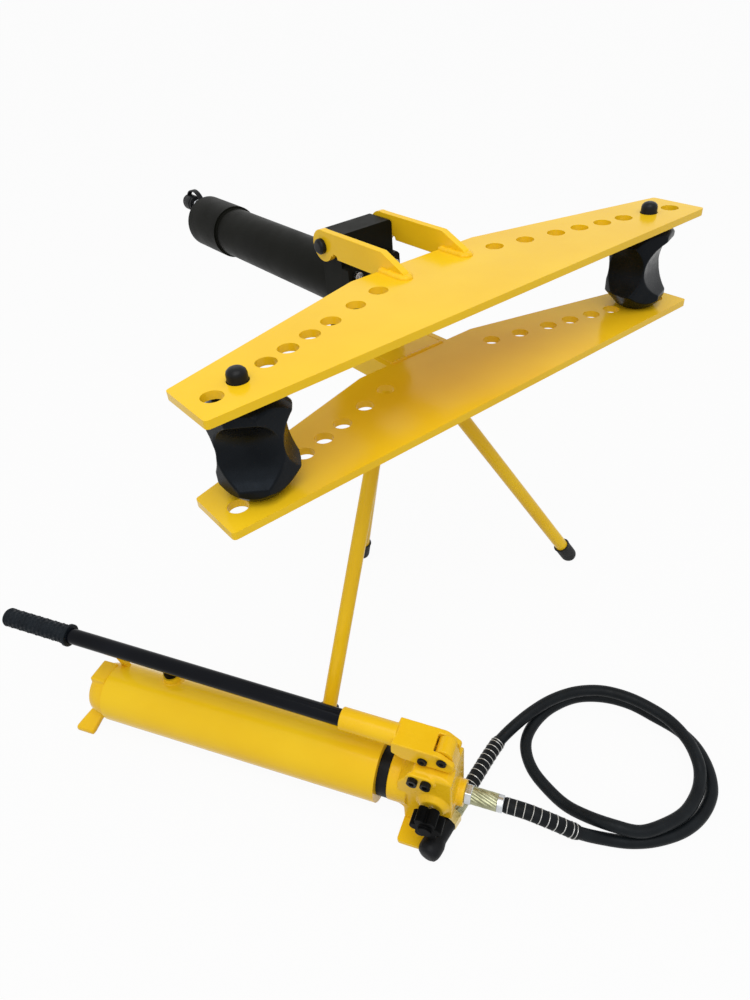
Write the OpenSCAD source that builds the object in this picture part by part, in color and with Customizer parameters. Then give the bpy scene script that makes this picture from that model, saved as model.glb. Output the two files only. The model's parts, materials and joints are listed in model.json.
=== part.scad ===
// Hydraulic pipe bender: a pair of wing plates on a tripod with a ram, two swivelling shoes,
// and a separate hand pump with its hose. Millimetres, Z up, standing on the floor at Z = 0.
// The wing plates run along X and the ram pushes towards -Y.

/* [Wing plates] */
// Half of the length of a wing plate
plate_half = 413; // [380:1:440]
// Thickness of each wing plate
plate_t = 10; // [8:0.5:12]
// Clear height between the two wing plates
plate_gap = 130; // [120:1:145]
// Front edge, ahead of the point where the two rows of seats meet
plate_front = 153; // [145:1:165]
// Rear corner of a plate's end, ahead of that point
end_back = 68; // [60:1:75]
// Rear edge at the middle, behind that point
centre_back = 19; // [15:1:25]
// Half of the straight rear edge at the middle
centre_half = 108; // [95:1:120]
// Radius of the plate's corners
plate_corner_r = 5; // [3:1:12]
// Diameter of a seat for a shoe pin
seat_d = 25; // [24.6:0.1:27]
// Which seat holds the shoes, counted from the middle
used_seat = 6; // [4:1:6]

/* [Stand] */
// Floor to the underside of the lower wing plate
stand_h = 530; // [480:5:580]
// Diameter of a leg tube
leg_d = 24; // [20:0.5:26]
// Front feet, out to each side
front_foot_x = 304; // [270:1:330]
// Front feet, ahead of the seat rows' meeting point
front_foot_ahead = 71; // [50:1:90]
// Rear foot, behind that point
rear_foot_y = 222; // [200:1:260]
// Outer diameter of the sockets that take the legs
socket_d = 32; // [30:0.5:36]
// Length of a leg socket
socket_l = 70; // [55:1:85]
// Diameter of a rubber foot
foot_d = 30; // [28:0.5:36]
// Length of a rubber foot
foot_l = 34; // [28:1:40]

/* [Hinge arms] */
// Thickness of an arm
arm_t = 10; // [8:0.5:12]
// Radius of an arm's round eye
eye_r = 22.5; // [22:0.5:26]
// Hinge axis, behind the seat rows' meeting point
hinge_y = 152; // [148:1:156]
// Hinge axis, above the upper plate's top
hinge_up = 3; // [0:0.5:6]
// Top edge of an arm, above the upper plate's top
arm_up = 25; // [22:0.5:25]
// Diameter of a hinge bolt's shank
hinge_bolt_d = 16; // [12:0.5:18]
// Diameter of a hinge bolt's head
hinge_head_d = 22; // [20:0.5:26]

/* [Ram and cylinder] */
// Width of the cylinder block between the arms
block_w = 96; // [90:1:110]
// Length of the block along the ram
block_l = 46; // [42:1:50]
// Front of the block, behind the seat rows' meeting point
block_y = 124; // [120:1:130]
// Top of the block, above the upper plate's top
block_up = 20; // [16:0.5:26]
// Side of the square gland flange
flange_w = 96; // [88:1:100]
// Thickness of the gland flange
flange_t = 15; // [12:0.5:18]
// Outer diameter of the barrel
barrel_d = 83; // [80:0.5:86]
// Bore of the barrel
bore_d = 63; // [60:0.5:66]
// Diameter of the ram's rod
rod_d = 45; // [42:0.5:46]
// Travel of the ram
stroke = 230; // [180:5:230]
// Outer diameter of the rear collar
collar_d = 91; // [88:0.5:96]
// Front of the rear collar, behind the seat rows' meeting point
collar_y = 522; // [512:1:535]
// Length of the rear collar
collar_l = 110; // [100:1:120]
// Height of the ram's axis above the middle of the gap between the plates
ram_up = 4; // [0:0.5:6]
// Diameter of the ram's nose
nose_d = 50; // [46:0.5:56]
// Diameter of the socket in the nose that takes a bending former
socket_bore_d = 22; // [18:0.5:26]

/* [Shoes] */
// Width of a shoe from its deepest groove's face to the face behind
shoe_w = 92; // [86:1:100]
// Diameter of a shoe's pin
shoe_pin_d = 23; // [21:0.1:23]
// How far a shoe's pin stands above the upper plate
pin_up = 15; // [12:0.5:18]
// Turn of the left shoe from the plate's own axes
shoe_turn = 36; // [0:1:45]
// Turn of the right shoe from the plate's own axes
shoe_turn_right = 18; // [0:1:45]

/* [Pump tank] */
// Outer diameter of the oil tank
tank_d = 96; // [90:1:100]
// Length of the tank tube
tank_l = 488; // [460:1:510]
// Wall of the tank tube
tank_wall = 3; // [2:0.25:4]
// Gap under the tank
tank_clear = 10; // [8:0.5:14]
// Thickness of the gasket ring between tank and head
gasket_t = 16; // [10:0.5:18]
// Filler neck, from the tail end of the tank
filler_x = 120; // [110:1:190]
// How far the filler stands beside the tank's top line
filler_y = 22; // [0:1:24]
// Tail of the tank, to the left of the ram's axis
tail_left = 552; // [540:1:570]
// Tail of the tank, behind the seat rows' meeting point
tail_behind = 196; // [186:1:206]
// Turn of the pump seen from above
pump_turn = -59; // [-62:0.5:-56]

/* [Pump lever] */
// Outer diameter of the handle tube
handle_d = 27; // [25:0.5:29]
// How far the grip reaches past the tank's tail
handle_over = 163; // [150:1:180]
// Rise of the handle from level at rest
handle_rise = 2.4; // [1.5:0.1:3.5]
// Turn of the lever from rest to fully raised
lever_turn = 45; // [35:1:45]
// Diameter of the lever's pins
lever_pin_d = 8; // [7:0.25:8.5]
// Length of the rubber grip
grip_l = 126; // [110:1:140]
// Diameter of the rubber grip
grip_d = 34; // [32:0.5:36]
// Diameter of the pump plunger
plunger_d = 14; // [12:0.5:16]

/* [Hose] */
// Outer diameter of the hose
hose_d = 18; // [16:0.5:19]
// Outer diameter of the guards at its two ends
guard_d = 22; // [20:0.5:24]
// Outer diameter of the crimped ferrules
ferrule_d = 25; // [23:0.5:27]

/* [Hidden] */
$fn = 48;

// Colours as the photograph shows them
paint_yellow = "#f2bd16";
black_paint = "#1b1b1c";
rubber_black = "#141416";
zinc_grey = "#b9bcb4";
brass_tone = "#a99a62";
steel_grey = "#8d9094";
bronze_tone = "#9a7740";

// Clearances and one overrun for all cuts
overrun = 1;
shaft_gap = 0.1;
side_gap = 0.5;
free_gap = 0.3;
seal_gap = 0.3;

// Places of the seats as shares of the plate's half length, and the slope of their rows
seat_shares = [0.249, 0.361, 0.477, 0.567, 0.656, 0.741, 0.843, 0.930];
row_slope_share = 0.299;

// Heights above the floor
lower_top = stand_h + plate_t;
upper_bottom = lower_top + plate_gap;
upper_top = upper_bottom + plate_t;
mid_z = lower_top + plate_gap / 2;
ram_z = mid_z + ram_up;
hinge_z = upper_top + hinge_up;

// Hinge arms: their place across, and the outline's other sizes
arm_inner = block_w / 2 + side_gap;
arm_nose_ahead = 28;
arm_bend_y = 17;
arm_nose_r = 8;
arm_nose_up = 6.3;
arm_notch = 6;
arm_corner_r = 4;
hinge_head_t = 9;
hinge_bolt_reach = 25;
hinge_head_round = 3;

// Stand
leg_top_x = 13;
leg_top_y = 62;
rear_top_y = 85;
leg_start = 16;
socket_start = -30;
foot_wall = 3;
foot_centre_z = 9;
leg_wall = 2.5;
foot_lip = 2;

// Cylinder
barrel_in_collar = 40;
collar_wall_end = 18;
collar_edge = 3;
collar_groove = 2;
collar_groove_w = 5;
piston_l = 32;
piston_back_gap = 6;
seal_w = 8;
seal_depth = 3;
nose_l = 34;
nose_gap = 13;
nose_edge = 3;
socket_bore_l = 25;
bush_l = 30;
wiper_l = 6;
wiper_d = rod_d + 14;
spring_wire = 5;
spring_turns = 16;
spring_rings = 12;
spring_sides = 6;
port_up = 24;
port_d = 16;
nipple_hex = 24;
nipple_hex_l = 12;
nipple_d = 19;
nipple_show = 26;
nipple_in_cap = 24;
cap_d = 29;
cap_l = 36;
cap_wall = 4;
cap_edge = 3;
strap_w = 9;
strap_t = 2.5;
strap_rise = 10;
screw_d = 8;
screw_head_d = 13;
screw_head_l = 8;
screw_reach = 20;
screw_inset = 14;
block_edge = 4;
collar_end = collar_y + collar_l;
barrel_end = collar_y + barrel_in_collar;
chamber_end = collar_end - collar_wall_end;
piston_front = chamber_end - piston_back_gap - piston_l;
flange_front = block_y - flange_t;
nose_back = flange_front - nose_gap;
nose_front = nose_back - nose_l;
block_top = upper_top + block_up;
block_bottom = 2 * mid_z - block_top;
spring_mean_r = (rod_d + bore_d) / 4;

// Shoes
shoe_gap = 0.5;
shoe_h = plate_gap - 2 * shoe_gap;
shoe_corners = [26, 35, 18, 18];
shoe_boss_r = 23;
shoe_boss_h = 4;
shoe_under_r = 30;
shoe_lip_r = 66;
shoe_lip_rise = 40;
pin_down = 5;
pin_dome = 7;
pin_edge = 2;
// Steps of a pin's rounded top: shares of its radius, then of the dome's height
pin_shares = [0.92, 0.70, 0.40, 0.55, 0.20];
// Four faces round a shoe: each one's distance from the pin's axis, the radius of its groove and the
// wall left behind the groove, as shares of the shoe's width
face_shares = [[0.413, 0.54, 0.185], [0.565, 0.62, 0.413], [0.435, 0.652, 0.405], [0.467, 0.815, 0.402]];
used_x = plate_half * seat_shares[used_seat];
used_y = -used_x * row_slope_share;

// Pump, in its own axes: X from the tail to the head, Z up from the floor
axis_z = tank_d / 2 + tank_clear;
head_x = tank_l + gasket_t;
neck_d = 76;
neck_l = 30;
neck_wall = 8;
head_w = 68;
head_top = 130;
base_t = 6;
base_l = 36;
base_w = 142;
base_from_head = 25;
base_x = head_x + base_from_head;
base_corner_r = 5;
base_hole_d = 9;
base_hole_inset = 26;
base_hole_share = 0.75;
head_l = 108;
outlet_x = head_x + head_l;
outlet_d = 38;
cap_back = 22;
tank_from = 15;
end_cap_d = 90;
end_pad_w = 40;
end_pad_back = 14;
cap_lip = 8;
cap_spigot = 6;
cap_shares = [0.97, 0.88, 0.7, 0.3];
cap_depth_shares = [0.5, 0.8, 0.95];
foot_bar_w = 26;
foot_bar_t = 9;
foot_spread = 54;
foot_high = 34;
foot_bar_x = -32;
foot_top_x = -6;
foot_toe_w = 34;
foot_bend_share = 0.6;
pivot_from_head = 80;
pivot_x = head_x + pivot_from_head;
pivot_z = 154;
link_back = 27;
link_drop = 9;
lug_r = 13;
lug_front = 17;
lug_low = 28;
lug_w = 27;
head_radii = [2, 2, 9, 5, 24, 8, 10, 4, 4];
head_section_radii = [2, 2, 20, 8];
under_share = 0.2;
plug_z = 117;
plug_d = 15;
plug_l = 7;
plug_pitch = 19;
plug_from_head = 43;
plug_x = head_x + plug_from_head;
pad_t = 3;
pad_margin = 4;
gland_d = 22;
gland_t = 4;
knob_from_head = 70;
knob_x = head_x + knob_from_head;
knob_z = 65;
knob_d = 46;
knob_l = 23;
knob_lobes = 6;
knob_lobe_share = 0.32;
knob_hub_d = 20;
knob_hub_l = 4;
stem_d = 9;
stem_in = 20;
stem_out = 8;
valve_boss_d = 34;
valve_root_d = 50;
valve_boss_l = 8;
knob_y = -head_w / 2 - valve_boss_l - stem_out;
boss_d = 28;
boss_up = 9;
filler_bore_d = 14;
filler_cap_d = 24;
filler_cap_l = 18;
filler_stem_l = 12;
rest_x = 24;
rest_w = 12;
rest_t = 6;
rest_foot_y = 30;
rest_top_y = 12;
strainer_d = 22;
strainer_l = 26;
pickup_d = 10;
pickup_l = 60;
pickup_drop = 22;
tie_d = 10;
tie_nut_d = 20;
tie_nut_l = 8;

// Lever
cheek_t = 8;
cheek_gap = lug_w + 2 * side_gap;
fork_back = 72;
fork_top = 11;
fork_nose = 20;
fork_nose_z = -6;
fork_toe = 12;
fork_low = 20;
fork_heel = 56;
fork_heel_z = 12;
fork_corner_r = 3;
fork_round_r = 8;
web_front = -14;
web_t = 7.5;
web_back = 10;
handle_drop = 1;
sleeve_d = 33;
sleeve_l = 84;
sleeve_back = 69;
handle_in = 40;
handle_wall = 2.5;
pin_head_d = 14;
pin_head_t = 3;
pin_tail = 2;
grip_ribs = 14;
grip_rib = 1.4;
grip_flange_d = 40;
grip_flange_t = 6;
grip_wall_end = 5;
eye_half = 9.5;
eye_tall = 7.8;
slot_half = 6.2;
slot_gap = 0.8;
eye_w = lug_w - 1;
plunger_bottom = 62;
link_x = pivot_x - link_back;
link_z = pivot_z - link_drop;
lever_l = (pivot_x + handle_over) / cos(handle_rise);

// Hose fittings and the route of the hose in the pump's axes, from its outlet to the hose's free end
hose_sides = 10;
hose_steps = 2;
hex_w = 27;
hex_l = 11;
ferrule_l = 45;
ferrule_edge = 2;
coupler_l = 48;
coupler_hex_l = 18;
hose_cap_d = 27;
hose_bulb_d = 33;
hose_cap_l = 58;
hose_bulb_l = 30;
hose_cap_edge = 5;
nipple_thread_d = 18;
nipple_thread_l = 14;
route_from_outlet = [
    [55, 0, 58], [88, 0.33, 56.55], [123, 3, 45], [159, 9, 26.5], [192.6, 18, 14],
    [228.1, 26.7, 9.6], [262.5, 41.5, 9.05], [296.5, 66.1, 9], [319.2, 96.1, 9], [331.8, 131.8, 9],
    [330.7, 162.7, 9], [321.1, 190.6, 9], [305.3, 214.6, 9], [281.1, 233.7, 9], [246.8, 247.9, 9],
    [207.2, 261.3, 9], [164.7, 262.1, 9], [123.2, 248.4, 9], [90.1, 218.9, 9], [70, 185.2, 9],
    [61.2, 150.4, 9], [65.6, 121.8, 9], [81.3, 94.7, 9], [106.7, 72.1, 9.1], [135.8, 53.5, 10.6],
    [167.5, 40, 20.5], [203.8, 32, 30], [238.9, 36.3, 27], [269.5, 56.8, 26.5], [296, 87.5, 21],
    [310.6, 121.3, 20], [314.6, 151.4, 21], [309.2, 174.9, 27], [294.4, 204.5, 28], [268.6, 231.1, 28.5],
    [235.6, 248.5, 28.5], [199.2, 258.7, 28.5], [159.9, 258.7, 28.5], [121.9, 244.6, 28.5], [88.6, 218.8, 28.5],
    [62.5, 188.3, 27], [40.3, 157.6, 21], [22.1, 127.1, 14], [12.5, 96, 15], [4.5, 63, 17.3],
    [-3.5, 32, 17.6]
];
hose_route = [for (step = route_from_outlet) step + [outlet_x, 0, 0]];
guard_points = 3;

// The middle of the whole bender and pump seen from above becomes the origin
pump_dir = [cos(pump_turn), sin(pump_turn)];
grip_reach = lever_l * cos(handle_rise) - pivot_x;
grip_end_x = -tail_left - pump_dir[0] * grip_reach - grip_d / 2 * abs(pump_dir[1]);
knob_front_y = tail_behind + pump_dir[1] * (knob_x + knob_d / 2) + pump_dir[0] * (knob_y - knob_l);
cap_rear_y = collar_end + nipple_hex_l + nipple_show + cap_l;
mid_x = (plate_half + grip_end_x) / 2;
mid_y = (cap_rear_y + knob_front_y) / 2;

// Points round a polygon whose corners are rounded by radius r
function corner_arc(a, b, c, r) =
    let (
        u = (a - b) / norm(a - b),
        v = (c - b) / norm(c - b),
        half = acos(u * v) / 2,
        reach = r / tan(half),
        side = sign(u[0] * v[1] - u[1] * v[0]),
        centre = b + (u + v) / norm(u + v) * r / sin(half),
        from = b + u * reach - centre,
        sweep = side * (180 - 2 * half),
        steps = 6
    )
    [for (i = [0:steps])
        let (turn = -sweep * i / steps)
        centre + [from[0] * cos(turn) - from[1] * sin(turn), from[0] * sin(turn) + from[1] * cos(turn)]];

function rounded(points, r) =
    let (n = len(points))
    [for (i = [0:n - 1])
        each corner_arc(points[(i + n - 1) % n], points[i], points[(i + 1) % n], is_list(r) ? r[i] : r)];

// Points along a smooth curve through a list of points
function curve_point(p, i, t) =
    let (
        n = len(p),
        a = p[max(i - 1, 0)],
        b = p[i],
        c = p[min(i + 1, n - 1)],
        d = p[min(i + 2, n - 1)]
    )
    0.5 * (2 * b + (c - a) * t + (2 * a - 5 * b + 4 * c - d) * t * t + (3 * b - a - 3 * c + d) * t * t * t);

function curve(p, steps) = concat(
    [for (i = [0:len(p) - 2], k = [0:steps - 1]) curve_point(p, i, k / steps)],
    [p[len(p) - 1]]
);

function part_of(list, first, last) = [for (i = [first:last]) list[i]];

// Rings of points round a path, square to it, with one side kept towards an axis
function ring(path, i, r, sides, axis) =
    let (
        n = len(path),
        along = path[min(i + 1, n - 1)] - path[max(i - 1, 0)],
        t = along / norm(along),
        s = cross(t, axis) / norm(cross(t, axis)),
        u = cross(s, t)
    )
    [for (k = [0:sides - 1]) path[i] + r * (cos(360 * k / sides) * s + sin(360 * k / sides) * u)];

function rings(path, r, sides, axis) =
    [for (i = [0:len(path) - 1]) each ring(path, i, r, sides, axis)];

function wall_faces(count, sides, first, outward) =
    [for (i = [0:count - 2], k = [0:sides - 1])
        let (
            a = first + i * sides + k,
            b = first + i * sides + (k + 1) % sides,
            c = a + sides,
            d = b + sides
        )
        each outward ? [[a, b, d], [a, d, c]] : [[a, d, b], [a, c, d]]];

// A round tube, filled, along a path
module tube(path, r, sides, axis) {
    n = len(path);
    last = (n - 1) * sides;
    polyhedron(
        points = rings(path, r, sides, axis),
        faces = concat(
            wall_faces(n, sides, 0, false),
            [[for (k = [0:sides - 1]) k]],
            [[for (k = [sides - 1:-1:0]) last + k]]
        )
    );
}

// A sleeve along a path, with an outer and an inner radius
module sleeve(path, r_out, r_in, sides, axis) {
    n = len(path);
    inner = n * sides;
    last = (n - 1) * sides;
    polyhedron(
        points = concat(rings(path, r_out, sides, axis), rings(path, r_in, sides, axis)),
        faces = concat(
            wall_faces(n, sides, 0, false),
            wall_faces(n, sides, inner, true),
            [for (k = [0:sides - 1])
                let (j = (k + 1) % sides)
                each [[k, j, inner + j], [k, inner + j, inner + k]]],
            [for (k = [0:sides - 1])
                let (j = (k + 1) % sides)
                each [[last + k, inner + last + j, last + j], [last + k, inner + last + k, inner + last + j]]]
        )
    );
}

// Least gap between turns of a path to itself, measured on its points
function self_gap(path, skip, d) =
    min([for (i = [0:len(path) - 1], j = [i + skip:1:len(path) - 1]) norm(path[i] - path[j])]) - d;

// Frames: the bender's own axes and the pump's own axes, both moved to the common origin
module bender() {
    translate([-mid_x, -mid_y, 0]) children();
}

module pump() {
    bender() translate([-tail_left, tail_behind, 0]) rotate([0, 0, pump_turn]) children();
}

module both_sides() {
    children();
    mirror([1, 0, 0]) children();
}

module mirrored_below() {
    translate([0, 0, 2 * mid_z]) mirror([0, 0, 1]) children();
}

// A cylinder along +Y, from y0, at height z
module along_y(d, y0, l, z) {
    translate([0, y0, z]) rotate([-90, 0, 0]) cylinder(d = d, h = l);
}

// A cylinder along +X of the pump, from x0, at height z
module along_x(d, x0, l, z) {
    translate([x0, 0, z]) rotate([0, 90, 0]) cylinder(d = d, h = l);
}

// A hexagonal bar along the local Z
module hex_bar(across, l) {
    cylinder(d = across / cos(30), h = l, $fn = 6);
}

// Wing plates
module wing_outline() {
    polygon(rounded([
        [-plate_half, -plate_front], [plate_half, -plate_front], [plate_half, -end_back],
        [centre_half, centre_back], [-centre_half, centre_back], [-plate_half, -end_back]
    ], plate_corner_r));
}

module wing_plate(z) {
    difference() {
        translate([0, 0, z]) linear_extrude(plate_t) wing_outline();
        for (share = seat_shares, side = [-1, 1])
            translate([side * share * plate_half, -share * plate_half * row_slope_share, z - overrun])
                cylinder(d = seat_d, h = plate_t + 2 * overrun);
    }
}

module lower_wing_plate() {
    color(paint_yellow) bender() wing_plate(stand_h);
}

module upper_wing_plate() {
    color(paint_yellow) bender() wing_plate(upper_bottom);
}

// An arm in its own plane: X is the bender's Y, Y is the height above the upper plate's top
module arm_outline() {
    notch_y = hinge_y - eye_r - arm_notch;
    nose_low = [-arm_nose_ahead, 0];
    nose_top = [-arm_nose_ahead, arm_nose_up];
    bend = [arm_bend_y, arm_up];
    difference() {
        union() {
            polygon(concat(
                [nose_low],
                corner_arc(nose_low, nose_top, bend, arm_nose_r),
                [bend, [hinge_y, arm_up], [hinge_y, hinge_up], [notch_y + arm_notch / 2, -plate_t]],
                [[centre_back, -plate_t], [centre_back, 0]]
            ));
            translate([hinge_y, hinge_up]) circle(r = eye_r);
        }
        translate([notch_y, -plate_t]) circle(r = arm_notch);
    }
}

module hinge_arm(bore_d) {
    difference() {
        translate([arm_inner, 0, upper_top]) rotate([90, 0, 90])
            linear_extrude(arm_t) arm_outline();
        translate([arm_inner - overrun, hinge_y, hinge_z]) rotate([0, 90, 0])
            cylinder(d = bore_d, h = arm_t + 2 * overrun);
    }
}

module upper_hinge_arms() {
    color(paint_yellow) bender() both_sides() hinge_arm(hinge_bolt_d + 2 * shaft_gap);
}

module lower_hinge_arms() {
    color(paint_yellow) bender() mirrored_below() both_sides() hinge_arm(hinge_bolt_d);
}

module bridge_plate() {
    color(paint_yellow) bender()
        translate([-arm_inner, centre_back, stand_h])
            cube([2 * arm_inner, block_y - centre_back, plate_t]);
}

// Hinge bolts: a rounded head outside the arm and a shank screwed into the block
module hinge_bolt(head_gap) {
    head_x = arm_inner + arm_t + head_gap;
    shank_x = block_w / 2 - hinge_bolt_reach;
    translate([0, hinge_y, hinge_z]) rotate([0, 90, 0]) {
        translate([0, 0, shank_x]) cylinder(d = hinge_bolt_d, h = head_x - shank_x);
        translate([0, 0, head_x]) rotate_extrude() polygon([
            [0, 0], [hinge_head_d / 2, 0], [hinge_head_d / 2, hinge_head_t - hinge_head_round],
            [hinge_head_d / 2 - hinge_head_round, hinge_head_t], [0, hinge_head_t]
        ]);
    }
}

module upper_arm_bolts() {
    color(black_paint) bender() both_sides() hinge_bolt(free_gap);
}

module lower_arm_bolts() {
    color(black_paint) bender() mirrored_below() both_sides() hinge_bolt(0);
}

// Stand: each leg runs from a point under the bridge plate to its foot on the floor
left_top = [-leg_top_x, leg_top_y, stand_h];
left_foot = [-front_foot_x, -front_foot_ahead, foot_centre_z];
right_top = [leg_top_x, leg_top_y, stand_h];
right_foot = [front_foot_x, -front_foot_ahead, foot_centre_z];
rear_top = [0, rear_top_y, stand_h];
rear_foot = [0, rear_foot_y, foot_centre_z];
leg_ends = [[left_top, left_foot], [right_top, right_foot], [rear_top, rear_foot]];

// Local Z along a leg, from its top down to its foot
module leg_frame(ends) {
    run = ends[1] - ends[0];
    translate(ends[0])
        rotate([0, acos(run[2] / norm(run)), atan2(run[1], run[0])]) children();
}

function leg_length(ends) = norm(ends[1] - ends[0]);

module leg(ends) {
    leg_frame(ends) difference() {
        translate([0, 0, leg_start]) cylinder(d = leg_d, h = leg_length(ends) - leg_start);
        translate([0, 0, leg_start - overrun])
            cylinder(d = leg_d - 2 * leg_wall, h = leg_length(ends) - leg_start + 2 * overrun);
    }
}

module leg_left() {
    color(paint_yellow) bender() leg(leg_ends[0]);
}

module leg_right() {
    color(paint_yellow) bender() leg(leg_ends[1]);
}

module leg_rear() {
    color(paint_yellow) bender() leg(leg_ends[2]);
}

module leg_sockets() {
    color(paint_yellow) bender() for (ends = leg_ends) intersection() {
        leg_frame(ends) difference() {
            translate([0, 0, socket_start]) cylinder(d = socket_d, h = socket_l - socket_start);
            translate([0, 0, leg_start]) cylinder(d = leg_d, h = socket_l);
        }
        translate([-plate_half, -plate_half, 0]) cube([2 * plate_half, 2 * plate_half, stand_h]);
    }
}

// Rubber feet: a cap over the leg's end, rounded below and worn flat where it stands
module leg_foot(ends) {
    l = leg_length(ends);
    intersection() {
        leg_frame(ends) difference() {
            union() {
                translate([0, 0, l - foot_l]) cylinder(d = foot_d, h = foot_l);
                translate([0, 0, l]) sphere(d = foot_d);
                translate([0, 0, l - foot_l]) cylinder(d = foot_d + foot_lip, h = foot_lip);
            }
            translate([0, 0, l - foot_l - overrun]) cylinder(d = leg_d, h = foot_l + overrun);
        }
        translate([-plate_half, -plate_half, 0]) cube([2 * plate_half, 2 * plate_half, stand_h]);
    }
}

module leg_feet() {
    color(rubber_black) bender() for (ends = leg_ends) leg_foot(ends);
}

// Cylinder block and gland flange
module block_outline(w, h, edge) {
    polygon([
        [-w / 2 + edge, -h / 2], [w / 2 - edge, -h / 2], [w / 2, -h / 2 + edge], [w / 2, h / 2 - edge],
        [w / 2 - edge, h / 2], [-w / 2 + edge, h / 2], [-w / 2, h / 2 - edge], [-w / 2, -h / 2 + edge]
    ]);
}

module slab(w, h, edge, y0, l, z) {
    translate([0, y0 + l, z]) rotate([90, 0, 0]) linear_extrude(l) block_outline(w, h, edge);
}

module screw_places() {
    reach = flange_w / 2 - screw_inset;
    for (side = [-1, 1], up = [-1, 1])
        translate([side * reach, flange_front, ram_z + up * reach]) rotate([-90, 0, 0]) children();
}

module cylinder_block() {
    color(black_paint) bender() difference() {
        slab(block_w, block_top - block_bottom, block_edge, block_y, block_l, mid_z);
        along_y(barrel_d, block_y - overrun, block_l + 2 * overrun, ram_z);
        for (z = [hinge_z, 2 * mid_z - hinge_z])
            both_sides() translate([block_w / 2 - hinge_bolt_reach, hinge_y, z]) rotate([0, 90, 0])
                cylinder(d = hinge_bolt_d, h = hinge_bolt_reach + overrun);
        screw_places() cylinder(d = screw_d, h = flange_t + screw_reach);
    }
}

module gland_flange() {
    color(black_paint) bender() difference() {
        slab(flange_w, flange_w, block_edge, flange_front, flange_t, ram_z);
        along_y(rod_d + 2 * shaft_gap, flange_front - overrun, flange_t + 2 * overrun, ram_z);
        along_y(wiper_d, flange_front - overrun, wiper_l + overrun, ram_z);
        screw_places() translate([0, 0, -overrun]) cylinder(d = screw_d, h = flange_t + 2 * overrun);
    }
}

module flange_screws() {
    color(steel_grey) bender() screw_places() difference() {
        union() {
            translate([0, 0, -screw_head_l]) cylinder(d = screw_head_d, h = screw_head_l);
            cylinder(d = screw_d, h = flange_t + screw_reach);
        }
        translate([0, 0, -screw_head_l - overrun]) hex_bar(screw_d * 0.75, screw_head_l / 2 + overrun);
    }
}

module rod_wiper() {
    color(rubber_black) bender() difference() {
        along_y(wiper_d, flange_front, wiper_l, ram_z);
        along_y(rod_d + 2 * seal_gap, flange_front - overrun, wiper_l + 2 * overrun, ram_z);
    }
}

// Barrel, its rear collar and what sits inside
module cylinder_barrel() {
    color(black_paint) bender() difference() {
        along_y(barrel_d, block_y, barrel_end - block_y, ram_z);
        along_y(bore_d, block_y - overrun, barrel_end - block_y + 2 * overrun, ram_z);
    }
}

module rear_collar() {
    r = collar_d / 2;
    color(black_paint) bender() difference() {
        translate([0, collar_y, ram_z]) rotate([-90, 0, 0]) rotate_extrude() polygon([
            [barrel_d / 2, 0], [r - collar_edge, 0], [r - collar_edge, collar_groove_w], [r, collar_groove_w],
            [r, collar_l - collar_edge], [r - collar_edge, collar_l], [0, collar_l],
            [0, collar_l - collar_wall_end], [bore_d / 2, collar_l - collar_wall_end],
            [bore_d / 2, barrel_in_collar], [barrel_d / 2, barrel_in_collar]
        ]);
        along_y(port_d, chamber_end - overrun, collar_wall_end + 2 * overrun, ram_z + port_up);
    }
}

module guide_bush() {
    color(bronze_tone) bender() difference() {
        along_y(bore_d, block_y, bush_l, ram_z);
        along_y(rod_d + 2 * shaft_gap, block_y - overrun, bush_l + 2 * overrun, ram_z);
    }
}

spring_seat = spring_wire / 2 * cos(180 / spring_sides);
spring_from = block_y + bush_l + spring_seat;
spring_to = piston_front - spring_seat;
spring_path = [for (i = [0:spring_turns * spring_rings])
    let (a = 360 * i / spring_rings, y = spring_from + (spring_to - spring_from) * i / (spring_turns * spring_rings))
    [spring_mean_r * cos(a), y, ram_z + spring_mean_r * sin(a)]];
echo(spring_gap = self_gap(spring_path, spring_rings - 2, spring_wire));

module return_spring() {
    color(steel_grey) bender() tube(spring_path, spring_wire / 2, spring_sides, [0, 1, 0]);
}

// Ram: rod, nose, piston and its seal
module ram_rod() {
    color(steel_grey) bender() along_y(rod_d, nose_back, piston_front - nose_back, ram_z);
}

module ram_nose() {
    r = nose_d / 2;
    color(black_paint) bender() difference() {
        translate([0, nose_front, ram_z]) rotate([-90, 0, 0]) rotate_extrude() polygon([
            [0, 0], [r - nose_edge, 0], [r, nose_edge], [r, nose_l - nose_edge],
            [r - nose_edge, nose_l], [0, nose_l]
        ]);
        along_y(socket_bore_d, nose_front - overrun, socket_bore_l + overrun, ram_z);
    }
}

module ram_piston() {
    color(steel_grey) bender() difference() {
        along_y(bore_d - 2 * shaft_gap, piston_front, piston_l, ram_z);
        translate([0, piston_front + (piston_l - seal_w) / 2, ram_z]) rotate([-90, 0, 0]) difference() {
            cylinder(d = bore_d + overrun, h = seal_w);
            translate([0, 0, -overrun]) cylinder(d = bore_d - 2 * seal_depth, h = seal_w + 2 * overrun);
        }
    }
}

module piston_seal() {
    y0 = piston_front + (piston_l - seal_w) / 2;
    color(rubber_black) bender() difference() {
        along_y(bore_d - 2 * shaft_gap, y0, seal_w, ram_z);
        along_y(bore_d - 2 * seal_depth, y0 - overrun, seal_w + 2 * overrun, ram_z);
    }
}

// Quick coupler at the rear of the cylinder, its rubber cap and the cap's strap
module coupler_nipple() {
    color(zinc_grey) bender() translate([0, collar_end, ram_z + port_up]) rotate([-90, 0, 0]) {
        translate([0, 0, -collar_wall_end]) cylinder(d = port_d, h = collar_wall_end);
        hex_bar(nipple_hex, nipple_hex_l);
        translate([0, 0, nipple_hex_l]) cylinder(d = nipple_d, h = nipple_show + nipple_in_cap);
    }
}

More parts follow.
